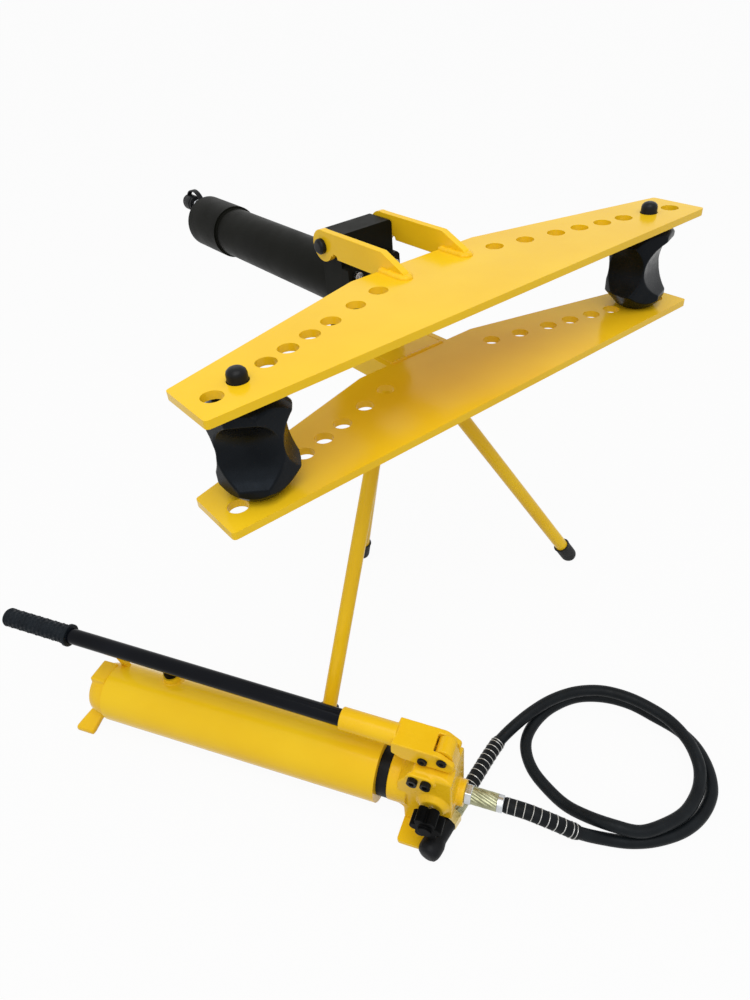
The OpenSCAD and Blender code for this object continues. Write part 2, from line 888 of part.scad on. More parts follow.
module coupler_cap() {
    r = cap_d / 2;
    color(rubber_black) bender() translate([0, collar_end + nipple_hex_l + nipple_show, ram_z + port_up])
        rotate([-90, 0, 0]) rotate_extrude() polygon([
            [nipple_d / 2, 0], [r, 0], [r, cap_l - cap_edge], [r - cap_edge, cap_l], [0, cap_l],
            [0, nipple_in_cap], [nipple_d / 2, nipple_in_cap]
        ]);
}

// The strap: a ring on the nipple and a band that arches from it to the end of the cap
module coupler_strap() {
    ring_y = collar_end + nipple_hex_l;
    end_y = cap_rear_y - 2 * cap_edge;
    bow_y = (ring_y + end_y) / 2;
    bow_r = (end_y - ring_y) / 2;
    bow_share = (cap_d / 2 + strap_rise) / bow_r;
    color(rubber_black) bender() translate([0, 0, ram_z + port_up]) {
        difference() {
            along_y(cap_d, ring_y, 2 * strap_t, 0);
            along_y(nipple_d, ring_y - overrun, 2 * strap_t + 2 * overrun, 0);
        }
        difference() {
            translate([-strap_w / 2, bow_y, 0]) scale([1, 1, bow_share]) rotate([0, 90, 0]) difference() {
                cylinder(r = bow_r + strap_t, h = strap_w);
                translate([0, 0, -overrun]) cylinder(r = bow_r, h = strap_w + 2 * overrun);
            }
            translate([-strap_w, ring_y - cap_d, -cap_d]) cube([2 * strap_w, 2 * cap_d + end_y - ring_y, cap_d]);
            along_y(cap_d, ring_y - 2 * strap_t, end_y + cap_d - ring_y, 0);
        }
    }
}

// Bending shoes: an off-centre block on each pin, with a groove of another radius on each face. A low
// boss stands on the plate and the lower and upper edges are turned down to a cone.
module shoe_blank() {
    far = [for (face = face_shares) face[0] * shoe_w];
    intersection() {
        linear_extrude(shoe_h) polygon([
            [-far[3] + shoe_corners[0], -far[0]], [far[1] - shoe_corners[1], -far[0]],
            [far[1], -far[0] + shoe_corners[1]], [far[1], far[2] - shoe_corners[2]],
            [far[1] - shoe_corners[2], far[2]], [-far[3] + shoe_corners[3], far[2]],
            [-far[3], far[2] - shoe_corners[3]], [-far[3], -far[0] + shoe_corners[0]]
        ]);
        rotate_extrude() polygon([
            [0, 0], [shoe_boss_r, 0], [shoe_boss_r, shoe_boss_h], [shoe_under_r, shoe_boss_h],
            [shoe_lip_r, shoe_boss_h + shoe_lip_rise],
            [shoe_lip_r, shoe_h - shoe_boss_h - shoe_lip_rise],
            [shoe_under_r, shoe_h - shoe_boss_h], [shoe_boss_r, shoe_h - shoe_boss_h],
            [shoe_boss_r, shoe_h], [0, shoe_h]
        ]);
    }
}

module shoe() {
    difference() {
        shoe_blank();
        for (i = [0:len(face_shares) - 1])
            let (r = face_shares[i][1] * shoe_w, wall = face_shares[i][2] * shoe_w)
            rotate([0, 0, 90 * i]) translate([-shoe_w, -wall - r, shoe_h / 2]) rotate([0, 90, 0])
                cylinder(r = r, h = 2 * shoe_w);
        translate([0, 0, -overrun]) cylinder(d = shoe_pin_d, h = shoe_h + 2 * overrun);
    }
}

// The right shoe is the left one mirrored
module at_seat(side) {
    bender() translate([side * used_x, used_y, lower_top + shoe_gap]) scale([-side, 1, 1])
        rotate([0, 0, side < 0 ? -shoe_turn : -shoe_turn_right]) children();
}

module shoe_left() {
    color(black_paint) at_seat(-1) shoe();
}

module shoe_right() {
    color(black_paint) at_seat(1) shoe();
}

module shoe_pin() {
    r = shoe_pin_d / 2;
    low = -shoe_gap - plate_t - pin_down;
    high = shoe_h + shoe_gap + plate_t + pin_up;
    rotate_extrude() polygon([
        [0, low], [r - pin_edge, low], [r, low + pin_edge], [r, high - pin_dome],
        [r * pin_shares[0], high - pin_dome * pin_shares[3]], [r * pin_shares[1], high - pin_dome * pin_shares[4]],
        [r * pin_shares[2], high], [0, high]
    ]);
}

module shoe_pin_left() {
    color(black_paint) at_seat(-1) shoe_pin();
}

module shoe_pin_right() {
    color(black_paint) at_seat(1) shoe_pin();
}

// Pump tank
module reservoir_tube() {
    r = tank_d / 2;
    color(paint_yellow) pump() difference() {
        union() {
            along_x(tank_d, tank_from, tank_l - tank_from, axis_z);
            translate([filler_x, filler_y, axis_z]) cylinder(d = boss_d, h = r + boss_up);
        }
        along_x(tank_d - 2 * tank_wall, tank_from - overrun, tank_l - tank_from + overrun - cap_spigot, axis_z);
        along_x(neck_d - 2 * neck_wall, tank_l / 2, tank_l, axis_z);
        translate([filler_x, filler_y, axis_z]) cylinder(d = filler_bore_d, h = tank_d);
    }
}

// A foot bar from the cap's underside down and out to a broad toe on the floor
module tail_foot(side) {
    bend = [
        foot_top_x + (foot_bar_x - foot_top_x) * foot_bend_share, side * foot_spread * foot_bend_share,
        foot_high * foot_bend_share
    ];
    hull() {
        translate([foot_top_x, 0, foot_high]) cube([foot_bar_w, foot_bar_t, foot_bar_t], center = true);
        translate(bend) cube([foot_bar_w, foot_bar_t, foot_bar_t], center = true);
    }
    hull() {
        translate(bend) cube([foot_bar_w, foot_bar_t, foot_bar_t], center = true);
        translate([foot_bar_x, side * foot_spread, foot_bar_t / 2])
            cube([foot_toe_w, foot_bar_t, foot_bar_t], center = true);
    }
}

// The cast cap stands back from the tube's edge, with a flat pad on top
module reservoir_end_cap() {
    inner = tank_d / 2 - tank_wall;
    r = end_cap_d / 2;
    depth = tank_from + cap_back;
    color(paint_yellow) pump() difference() {
        union() {
            translate([tank_from, 0, axis_z]) rotate([0, -90, 0]) rotate_extrude() polygon([
                [0, -cap_spigot], [inner, -cap_spigot], [inner, 0], [r, 0], [r, cap_lip],
                [r * cap_shares[0], depth * cap_depth_shares[0]], [r * cap_shares[1], depth * cap_depth_shares[1]],
                [r * cap_shares[2], depth * cap_depth_shares[2]], [r * cap_shares[3], depth], [0, depth]
            ]);
            translate([-end_pad_back, -end_pad_w / 2, axis_z])
                cube([end_pad_back + tank_from, end_pad_w, tank_d / 2]);
            for (side = [-1, 1]) tail_foot(side);
        }
        along_x(tie_d, -cap_back - overrun, cap_back + tank_from + cap_spigot + 2 * overrun, axis_z);
    }
}

module tank_gasket() {
    color(rubber_black) pump() difference() {
        along_x(neck_d - 2, tank_l, gasket_t, axis_z);
        along_x(neck_d - 2 * neck_wall, tank_l - overrun, gasket_t + 2 * overrun, axis_z);
    }
}

module tie_rod() {
    color(steel_grey) pump() {
        along_x(tie_d, -cap_back, head_x + neck_l / 2 + cap_back, axis_z);
        translate([-cap_back, 0, axis_z]) rotate([0, -90, 0]) hex_bar(tie_nut_d, tie_nut_l);
    }
}

module suction_strainer() {
    z = axis_z - pickup_drop;
    color(brass_tone) pump() {
        along_x(pickup_d, head_x - pickup_l, pickup_l + neck_l / 2, z);
        along_x(strainer_d, head_x - pickup_l - strainer_l, strainer_l, z);
    }
}

// Pump head: a casting with a round neck to the tank and the lug that carries the lever
module head_outline() {
    front = outlet_x - cap_edge;
    top_from = link_x - gland_d / 2;
    step = base_l * under_share;
    polygon(rounded([
        [base_x, base_t], [base_x + base_l, base_t], [base_x + base_l + step, axis_z - outlet_d / 2],
        [front, axis_z - outlet_d / 2], [front, head_top], [top_from, head_top],
        [base_x - step, axis_z + neck_d / 2], [base_x - step, axis_z - neck_d / 4], [base_x, axis_z - neck_d / 3]
    ], head_radii));
}

// The head seen along the pump, with its far upper edge well rounded
module head_section() {
    polygon(rounded([
        [-head_w / 2, 0], [head_w / 2, 0], [head_w / 2, head_top], [-head_w / 2, head_top]
    ], head_section_radii));
}

module upright(w, y0) {
    translate([0, y0 + w, 0]) rotate([90, 0, 0]) linear_extrude(w) children();
}

module head_lug_outline() {
    translate([pivot_x, pivot_z]) circle(r = lug_r);
    polygon([
        [pivot_x - lug_r, pivot_z], [pivot_x - lug_r, head_top - lug_low],
        [pivot_x + lug_front, head_top - lug_low], [pivot_x + lug_front, head_top - cap_edge],
        [pivot_x + lug_r, pivot_z]
    ]);
}

module plug_places() {
    for (i = [0, 1]) translate([plug_x + i * plug_pitch, -head_w / 2 - pad_t, plug_z])
        rotate([90, 0, 0]) children();
}

module pump_head() {
    color(paint_yellow) pump() difference() {
        union() {
            intersection() {
                upright(head_w, -head_w / 2) head_outline();
                translate([base_x - base_l, 0, 0]) rotate([90, 0, 90]) linear_extrude(3 * base_l) head_section();
            }
            along_x(neck_d, head_x, neck_l, axis_z);
            along_x(outlet_d, outlet_x - outlet_d, outlet_d, axis_z);
            upright(lug_w, -lug_w / 2) head_lug_outline();
            translate([knob_x, -head_w / 2 + overrun, knob_z]) rotate([90, 0, 0])
                cylinder(d1 = valve_root_d, d2 = valve_boss_d, h = valve_boss_l + overrun);
            plug_places() translate([0, 0, -2 * pad_t]) cylinder(d = plug_d + 2 * pad_margin, h = 2 * pad_t);
            translate([plug_x, -head_w / 2 - pad_t, plug_z - plug_d / 2 - pad_margin])
                cube([plug_pitch, 2 * pad_t, plug_d + 2 * pad_margin]);
        }
        translate([pivot_x, -lug_w, pivot_z]) rotate([-90, 0, 0])
            cylinder(d = lever_pin_d + 2 * shaft_gap, h = 2 * lug_w);
        translate([link_x, 0, plunger_bottom - lug_r])
            cylinder(d = plunger_d + 2 * shaft_gap, h = head_top);
        translate([knob_x, -head_w / 2 + stem_in, knob_z]) rotate([90, 0, 0])
            cylinder(d = stem_d + 2 * shaft_gap, h = head_w);
        along_x(nipple_thread_d, outlet_x - nipple_thread_l, nipple_thread_l + overrun, axis_z);
        along_x(tie_d, head_x - overrun, neck_l / 2 + overrun, axis_z);
        along_x(pickup_d, head_x - overrun, neck_l / 2 + overrun, axis_z - pickup_drop);
    }
}

module valve_plugs() {
    color(black_paint) pump() plug_places() difference() {
        cylinder(d = plug_d, h = plug_l);
        translate([0, 0, plug_l / 2]) hex_bar(plug_d / 2, plug_l);
    }
}

module plunger_gland() {
    color(steel_grey) pump() translate([link_x, 0, head_top]) difference() {
        cylinder(d = gland_d, h = gland_t);
        translate([0, 0, -overrun]) cylinder(d = plunger_d + 2 * seal_gap, h = gland_t + 2 * overrun);
    }
}

module base_plate() {
    color(paint_yellow) pump() difference() {
        linear_extrude(base_t) polygon(rounded([
            [base_x, -base_w / 2], [base_x + base_l, -base_w / 2],
            [base_x + base_l, base_w / 2], [base_x, base_w / 2]
        ], base_corner_r));
        for (side = [-1, 1])
            translate([base_x + base_l * base_hole_share, side * (base_w / 2 - base_hole_inset), -overrun])
                cylinder(d = base_hole_d, h = base_t + 2 * overrun);
    }
}

// The lever's own axes: its pivot at the origin, the handle running towards -X
module lever_frame() {
    translate([pivot_x, 0, pivot_z]) rotate([0, handle_rise, 0]) children();
}

module handle_along(d, x0, l) {
    translate([x0 - l, 0, -handle_drop]) rotate([0, 90, 0]) cylinder(d = d, h = l);
}

// A leaning strap behind the tank's top line, hollowed where the handle comes to rest
module handle_rest() {
    rise = (pivot_x - rest_x) * tan(handle_rise);
    top = pivot_z - handle_drop + rise - handle_d / 2 + rest_t / 2;
    color(paint_yellow) pump() difference() {
        hull() {
            translate([rest_x, rest_foot_y, axis_z + tank_d / 4]) cube([rest_w, rest_t, rest_t], center = true);
            translate([rest_x, rest_top_y, top]) cube([rest_w, rest_t, rest_t], center = true);
        }
        along_x(tank_d, 0, tank_l, axis_z);
        lever_frame() handle_along(handle_d + 2 * free_gap, 0, lever_l);
    }
}

module filler_cap() {
    top = axis_z + tank_d / 2 + boss_up;
    color(black_paint) pump() translate([filler_x, filler_y, top]) {
        translate([0, 0, -filler_stem_l]) cylinder(d = filler_bore_d - 2 * shaft_gap, h = filler_stem_l);
        translate([0, 0, free_gap]) rotate_extrude() polygon([
            [0, -free_gap], [filler_bore_d / 2 - shaft_gap, -free_gap], [filler_bore_d / 2 - shaft_gap, 0],
            [filler_cap_d / 2, 0], [filler_cap_d / 2, filler_cap_l - cap_edge],
            [filler_cap_d / 2 - cap_edge, filler_cap_l], [0, filler_cap_l]
        ]);
    }
}

// Release valve: a lobed knob on a stem
module release_stem() {
    color(steel_grey) pump() translate([knob_x, -head_w / 2 + stem_in - overrun, knob_z]) rotate([90, 0, 0])
        cylinder(d = stem_d, h = stem_in - overrun + valve_boss_l + stem_out);
}

module release_knob() {
    lobe_r = knob_d / 2 * knob_lobe_share;
    color(black_paint) pump() translate([knob_x, knob_y, knob_z]) rotate([90, 0, 0]) {
        linear_extrude(knob_l) {
            circle(d = knob_d - 2 * lobe_r * 0.9);
            for (i = [0:knob_lobes - 1])
                rotate(360 * i / knob_lobes) translate([knob_d / 2 - lobe_r, 0]) circle(r = lobe_r);
        }
        translate([0, 0, knob_l]) cylinder(d = knob_hub_d, h = knob_hub_l);
    }
}

// Lever: a fork with a socket for the handle tube
module fork_outline() {
    polygon(rounded([
        [-fork_back, -fork_heel_z], [-fork_heel, -fork_low], [fork_toe, -fork_low], [fork_nose, fork_nose_z],
        [-fork_corner_r, fork_top], [-fork_back, fork_top]
    ], [fork_corner_r, fork_round_r, fork_round_r, fork_round_r, 2 * fork_round_r, fork_corner_r]));
}

module lever_beam() {
    wide = cheek_gap + 2 * cheek_t;
    color(paint_yellow) pump() difference() {
        lever_frame() difference() {
            union() {
                upright(wide, -wide / 2) fork_outline();
                handle_along(sleeve_d, -sleeve_back, sleeve_l);
            }
            upright(cheek_gap, -cheek_gap / 2) polygon([
                [-fork_back + web_back, -fork_low - overrun], [fork_nose + overrun, -fork_low - overrun],
                [fork_nose + overrun, fork_top + overrun], [web_front, fork_top + overrun],
                [web_front, fork_top - web_t], [-fork_back + web_back, fork_top - web_t]
            ]);
            handle_along(handle_d, -sleeve_back - sleeve_l + handle_in, handle_in + overrun);
        }
        for (p = [[pivot_x, pivot_z], [link_x, link_z]])
            translate([p[0], -wide, p[1]]) rotate([-90, 0, 0]) cylinder(d = lever_pin_d, h = 2 * wide);
    }
}

module lever_pins() {
    wide = cheek_gap + 2 * cheek_t;
    color(black_paint) pump() for (p = [[pivot_x, pivot_z], [link_x, link_z]])
        translate([p[0], -wide / 2, p[1]]) rotate([-90, 0, 0]) {
            cylinder(d = lever_pin_d, h = wide + pin_tail);
            translate([0, 0, -pin_head_t]) cylinder(d = pin_head_d, h = pin_head_t);
        }
}

module handle_tube() {
    x0 = -sleeve_back - sleeve_l + handle_in;
    l = lever_l + x0 - grip_wall_end;
    color(black_paint) pump() lever_frame() difference() {
        handle_along(handle_d, x0, l);
        handle_along(handle_d - 2 * handle_wall, x0 + overrun, l + 2 * overrun);
    }
}

module handle_grip() {
    r = grip_d / 2;
    pitch = (grip_l - grip_flange_t) / grip_ribs;
    ribs = [for (i = [0:grip_ribs - 1]) each [
        [r - grip_rib, grip_flange_t + pitch * i],
        [r - grip_rib, grip_flange_t + pitch * (i + 0.45)],
        [r, grip_flange_t + pitch * (i + 0.6)],
        [r, grip_flange_t + pitch * (i + 0.9)]
    ]];
    color(rubber_black) pump() lever_frame()
        translate([-lever_l + grip_l, 0, -handle_drop]) rotate([0, -90, 0]) rotate_extrude()
            polygon(concat(
                [[handle_d / 2, 0], [grip_flange_d / 2, 0], [grip_flange_d / 2, grip_flange_t]],
                ribs,
                [[r - grip_rib, grip_l], [0, grip_l], [0, grip_l - grip_wall_end],
                 [handle_d / 2, grip_l - grip_wall_end]]
            ));
}

module pump_plunger() {
    color(steel_grey) pump() difference() {
        union() {
            translate([link_x, 0, plunger_bottom]) cylinder(d = plunger_d, h = link_z - plunger_bottom);
            for (end = [-1, 1])
                translate([link_x + end * (eye_half - eye_tall), -eye_w / 2, link_z]) rotate([-90, 0, 0])
                    cylinder(r = eye_tall, h = eye_w);
            translate([link_x - eye_half + eye_tall, -eye_w / 2, link_z - eye_tall])
                cube([2 * (eye_half - eye_tall), eye_w, 2 * eye_tall]);
        }
        for (end = [-1, 1])
            translate([link_x + end * (slot_half - lever_pin_d / 2 - slot_gap), -eye_w, link_z]) rotate([-90, 0, 0])
                cylinder(d = lever_pin_d + 2 * slot_gap, h = 2 * eye_w);
        translate([link_x - slot_half + lever_pin_d / 2 + slot_gap, -eye_w, link_z - lever_pin_d / 2 - slot_gap])
            cube([2 * slot_half - lever_pin_d - 2 * slot_gap, 2 * eye_w, lever_pin_d + 2 * slot_gap]);
    }
}

// Hose with its fittings
hose_path = curve(hose_route, hose_steps);
guard_last = guard_points * hose_steps;
hose_end = hose_route[len(hose_route) - 1];
echo(hose_length = leg_sum(hose_path));
echo(hose_gap = self_gap(hose_path, 8, hose_d));

function leg_sum(path) = sum_steps(path, 1);
function sum_steps(path, i) = i >= len(path) ? 0 : norm(path[i] - path[i - 1]) + sum_steps(path, i + 1);

module ferrule(d, l) {
    rotate_extrude() polygon([
        [0, 0], [d / 2 - ferrule_edge, 0], [d / 2, ferrule_edge], [d / 2, l - ferrule_edge],
        [d / 2 - ferrule_edge, l], [0, l]
    ]);
}

module hose_nipple() {
    color(zinc_grey) pump() translate([outlet_x, 0, axis_z]) rotate([0, 90, 0]) {
        translate([0, 0, -nipple_thread_l]) cylinder(d = nipple_thread_d, h = nipple_thread_l);
        hex_bar(hex_w, hex_l - overrun);
    }
}

module hose_ferrule_pump() {
    x0 = outlet_x + hex_l - overrun;
    color(brass_tone) pump() translate([x0, 0, axis_z]) rotate([0, 90, 0])
        ferrule(ferrule_d, hose_route[0][0] - x0);
}

module hose_guard_pump() {
    color(rubber_black) pump()
        sleeve(part_of(hose_path, 0, guard_last), guard_d / 2, hose_d / 2, hose_sides, [0, 0, 1]);
}

module hose() {
    color(rubber_black) pump() tube(hose_path, hose_d / 2, hose_sides, [0, 0, 1]);
}

module hose_guard_free() {
    n = len(hose_path);
    color(rubber_black) pump()
        sleeve(part_of(hose_path, n - 1 - guard_last, n - 1), guard_d / 2, hose_d / 2, hose_sides, [0, 0, 1]);
}

module free_end() {
    run = hose_end - hose_path[len(hose_path) - 2];
    pump() translate(hose_end)
        rotate([0, acos(run[2] / norm(run)), atan2(run[1], run[0])]) children();
}

module hose_ferrule_free() {
    color(brass_tone) free_end() ferrule(ferrule_d, ferrule_l);
}

module hose_coupler() {
    color(zinc_grey) free_end() translate([0, 0, ferrule_l]) {
        hex_bar(hex_w, coupler_hex_l);
        translate([0, 0, coupler_hex_l]) cylinder(d = nipple_d, h = coupler_l);
    }
}

module hose_cap() {
    r = hose_cap_d / 2;
    bulb = hose_bulb_d / 2;
    neck = hose_cap_l - hose_bulb_l;
    color(rubber_black) free_end() translate([0, 0, ferrule_l + coupler_hex_l]) rotate_extrude() polygon([
        [nipple_d / 2, 0], [r, 0], [r, neck], [bulb, neck + bulb - r], [bulb, hose_cap_l - 2 * hose_cap_edge],
        [bulb - hose_cap_edge / 2, hose_cap_l - hose_cap_edge / 2], [bulb - 2 * hose_cap_edge, hose_cap_l],
        [0, hose_cap_l], [0, coupler_l], [nipple_d / 2, coupler_l]
    ]);
}

lower_wing_plate();
lower_hinge_arms();
bridge_plate();
leg_sockets();
leg_left();
leg_right();
leg_rear();
leg_feet();
cylinder_block();
lower_arm_bolts();
upper_arm_bolts();
gland_flange();
flange_screws();
cylinder_barrel();
rear_collar();
guide_bush();
rod_wiper();
return_spring();
coupler_nipple();
coupler_cap();
coupler_strap();
ram_rod();
ram_nose();
ram_piston();
piston_seal();
upper_wing_plate();
upper_hinge_arms();
shoe_left();
shoe_right();
shoe_pin_left();
shoe_pin_right();
reservoir_tube();
reservoir_end_cap();
tank_gasket();
tie_rod();
suction_strainer();
pump_head();
base_plate();
valve_plugs();
plunger_gland();
handle_rest();
filler_cap();
release_knob();
release_stem();
lever_beam();
lever_pins();
handle_tube();
handle_grip();
pump_plunger();
hose_nipple();
hose_ferrule_pump();
hose_guard_pump();
hose();
hose_guard_free();
hose_ferrule_free();
hose_coupler();
hose_cap();
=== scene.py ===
import json
import math
import bmesh
import bpy
from mathutils import Matrix, Vector

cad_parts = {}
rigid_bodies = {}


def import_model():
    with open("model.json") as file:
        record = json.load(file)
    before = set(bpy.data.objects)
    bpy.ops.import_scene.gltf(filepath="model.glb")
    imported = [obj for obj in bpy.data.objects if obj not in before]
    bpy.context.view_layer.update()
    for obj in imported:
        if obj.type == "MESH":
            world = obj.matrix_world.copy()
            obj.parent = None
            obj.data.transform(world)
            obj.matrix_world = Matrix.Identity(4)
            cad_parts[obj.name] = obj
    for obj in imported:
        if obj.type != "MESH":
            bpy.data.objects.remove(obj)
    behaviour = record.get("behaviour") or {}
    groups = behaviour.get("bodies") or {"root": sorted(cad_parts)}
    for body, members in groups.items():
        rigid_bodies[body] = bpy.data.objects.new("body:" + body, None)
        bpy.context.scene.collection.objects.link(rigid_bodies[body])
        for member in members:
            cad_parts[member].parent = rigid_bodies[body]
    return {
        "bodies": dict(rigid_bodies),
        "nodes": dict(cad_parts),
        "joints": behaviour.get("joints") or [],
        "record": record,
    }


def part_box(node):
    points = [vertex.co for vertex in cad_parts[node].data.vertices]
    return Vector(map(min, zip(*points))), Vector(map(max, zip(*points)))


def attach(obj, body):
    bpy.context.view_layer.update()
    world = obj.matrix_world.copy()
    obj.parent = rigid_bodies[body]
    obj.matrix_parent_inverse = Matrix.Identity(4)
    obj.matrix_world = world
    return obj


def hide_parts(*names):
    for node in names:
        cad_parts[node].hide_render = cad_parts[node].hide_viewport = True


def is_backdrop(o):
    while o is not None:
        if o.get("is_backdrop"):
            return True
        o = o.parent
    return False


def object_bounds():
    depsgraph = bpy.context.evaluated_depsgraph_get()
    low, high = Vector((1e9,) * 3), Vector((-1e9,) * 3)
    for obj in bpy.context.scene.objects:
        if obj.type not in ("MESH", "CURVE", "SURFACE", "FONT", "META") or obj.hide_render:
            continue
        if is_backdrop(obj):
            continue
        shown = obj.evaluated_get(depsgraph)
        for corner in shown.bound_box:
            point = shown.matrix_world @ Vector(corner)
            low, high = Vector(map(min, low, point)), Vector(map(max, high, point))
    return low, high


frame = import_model()
nodes = frame["nodes"]
cad_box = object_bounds()

# Studio
# A pale floor under an even white sky, two soft lamps and the camera where the
# photograph was taken, looking down on the bender from its front left.
plate_low, plate_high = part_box("upper_wing_plate")
plate_front = 0.153
bender_origin = Vector(((plate_low.x + plate_high.x) / 2, plate_low.y + plate_front, 0))

camera_data = bpy.data.cameras.new("camera")
camera_data.sensor_fit = "AUTO"
camera_data.sensor_width = 36
camera_data.lens = 26.22
camera = bpy.data.objects.new("camera", camera_data)
bpy.context.scene.collection.objects.link(camera)
camera_offset = Vector((-0.6343, -0.7263, 1.0339))
camera_heading = math.radians(-35.594)
camera_tilt = math.radians(52.01)
camera_roll = math.radians(-5.066)
camera_turn = (
    Matrix.Rotation(camera_heading, 4, "Z")
    @ Matrix.Rotation(camera_tilt, 4, "X")
    @ Matrix.Rotation(camera_roll, 4, "Z")
)
camera.matrix_world = Matrix.Translation(bender_origin + camera_offset) @ camera_turn
bpy.context.scene.camera = camera
bpy.context.scene.view_settings.view_transform = "Standard"


def shader(name):
    """A new material with its node tree and its main shader."""
    material = bpy.data.materials.new(name)
    material.use_nodes = True
    tree = material.node_tree
    return material, tree, tree.nodes["Principled BSDF"]


def seen_directly(tree):
    """1 for rays from the camera, off a shiny surface or through glass, and 0 for the light itself."""
    path = tree.nodes.new("ShaderNodeLightPath")
    either = tree.nodes.new("ShaderNodeMath")
    either.operation = "MAXIMUM"
    tree.links.new(path.outputs["Is Camera Ray"], either.inputs[0])
    tree.links.new(path.outputs["Is Glossy Ray"], either.inputs[1])
    third = tree.nodes.new("ShaderNodeMath")
    third.operation = "MAXIMUM"
    tree.links.new(either.outputs[0], third.inputs[0])
    tree.links.new(path.outputs["Is Transmission Ray"], third.inputs[1])
    return third.outputs[0]


world = bpy.data.worlds.new("studio_sky")
bpy.context.scene.world = world
world.use_nodes = True
sky = world.node_tree
sky_light = sky.nodes["Background"]
sky_light.inputs["Color"].default_value = (1, 1, 1, 1)
sky_level = sky.nodes.new("ShaderNodeMapRange")
sky_level.inputs["To Min"].default_value = 0.66
sky_level.inputs["To Max"].default_value = 0.978
sky.links.new(seen_directly(sky), sky_level.inputs["Value"])
sky.links.new(sky_level.outputs["Result"], sky_light.inputs["Strength"])

floor_half = 60
floor_drop = 0.0006
floor_mesh = bpy.data.meshes.new("floor")
floor_shape = bmesh.new()
bmesh.ops.create_grid(floor_shape, x_segments=1, y_segments=1, size=floor_half)
floor_shape.to_mesh(floor_mesh)
floor_shape.free()
floor = bpy.data.objects.new("floor", floor_mesh)
bpy.context.scene.collection.objects.link(floor)
floor.location.z = -floor_drop
floor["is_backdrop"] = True
floor_paint, floor_tree, floor_shader = shader("pale_floor")
floor_shader.inputs["Base Color"].default_value = (0.6, 0.6, 0.6, 1)
floor_shader.inputs["Roughness"].default_value = 0.9
floor_shader.inputs["Specular IOR Level"].default_value = 0.0
floor_glow = floor_tree.nodes.new("ShaderNodeEmission")
floor_glow.inputs["Color"].default_value = (1, 1, 1, 1)
floor_mix = floor_tree.nodes.new("ShaderNodeMixShader")
floor_share = floor_tree.nodes.new("ShaderNodeMath")
floor_share.operation = "MULTIPLY"
floor_share.inputs[1].default_value = 0.95
floor_tree.links.new(seen_directly(floor_tree), floor_share.inputs[0])
floor_tree.links.new(floor_share.outputs[0], floor_mix.inputs["Fac"])
floor_tree.links.new(floor_shader.outputs[0], floor_mix.inputs[1])
floor_tree.links.new(floor_glow.outputs[0], floor_mix.inputs[2])
floor_tree.links.new(floor_mix.outputs[0], floor_tree.nodes["Material Output"].inputs["Surface"])
floor_mesh.materials.append(floor_paint)

lamps = [
    ("overhead_lamp", (-0.6, -1.0, 2.7), (0.0, 0.0, 0.3), 1.8, 30),
    ("front_lamp", (-2.1, -1.7, 2.0), (0.0, 0.0, 0.35), 1.3, 5),
]
for lamp_name, place, aim, size, power in lamps:
    lamp_data = bpy.data.lights.new(lamp_name, "AREA")
    lamp_data.size = size
    lamp_data.energy = power
    lamp = bpy.data.objects.new(lamp_name, lamp_data)
    bpy.context.scene.collection.objects.link(lamp)
    aim_line = Vector(aim) - Vector(place)
    lamp_turn = aim_line.to_track_quat("-Z", "Y").to_matrix().to_4x4()
    lamp.matrix_world = Matrix.Translation(place) @ lamp_turn

# Hose
# A stiff rubber pressure hose with a smooth wrapped cover, crimped into a ferrule at each end.
# It leaves the pump's outlet, makes two loops on the floor and comes back under the outlet.
pump_offset = Vector((-0.552, 0.196, 0))
pump_turn = math.radians(-59)
pump_frame = Matrix.Translation(bender_origin + pump_offset) @ Matrix.Rotation(pump_turn, 4, "Z")
hose_d = 0.018
hose_steps = 8
mm_in_metre = 1000
hose_route = [
    (667, 0, 58), (700, 0.33, 56.55), (735, 3, 45), (771, 9, 26.5), (804.6, 18, 14),
    (840.1, 26.7, 9.6), (874.5, 41.5, 9.05), (908.5, 66.1, 9), (931.2, 96.1, 9), (943.8, 131.8, 9),
    (942.7, 162.7, 9), (933.1, 190.6, 9), (917.3, 214.6, 9), (893.1, 233.7, 9), (858.8, 247.9, 9),
    (819.2, 261.3, 9), (776.7, 262.1, 9), (735.2, 248.4, 9), (702.1, 218.9, 9), (682, 185.2, 9),
    (673.2, 150.4, 9), (677.6, 121.8, 9), (693.3, 94.7, 9), (718.7, 72.1, 9.1), (747.8, 53.5, 10.6),
    (779.5, 40, 20.5), (815.8, 32, 30), (850.9, 36.3, 27), (881.5, 56.8, 26.5), (908, 87.5, 21),
    (922.6, 121.3, 20), (926.6, 151.4, 21), (921.2, 174.9, 27), (906.4, 204.5, 28),
    (880.6, 231.1, 28.5), (847.6, 248.5, 28.5), (811.2, 258.7, 28.5), (771.9, 258.7, 28.5),
    (733.9, 244.6, 28.5), (700.6, 218.8, 28.5), (674.5, 188.3, 27), (652.3, 157.6, 21),
    (634.1, 127.1, 14), (624.5, 96, 15), (616.5, 63, 17.3), (608.5, 32, 17.6),
]
hose_points = [pump_frame @ (Vector(p) / mm_in_metre) for p in hose_route]


def smooth_line(points, steps):
    """Points along one smooth curve through the given points."""
    line = []
    last = len(points) - 1
    for i in range(last):
        a = points[max(i - 1, 0)]
        b = points[i]
        c = points[i + 1]
        d = points[min(i + 2, last)]
        for k in range(steps):
            t = k / steps
            line.append(
                0.5 * (2 * b + (c - a) * t + (2 * a - 5 * b + 4 * c - d) * t * t
                       + (3 * b - a - 3 * c + d) * t * t * t)
            )
    line.append(points[last])
    return line


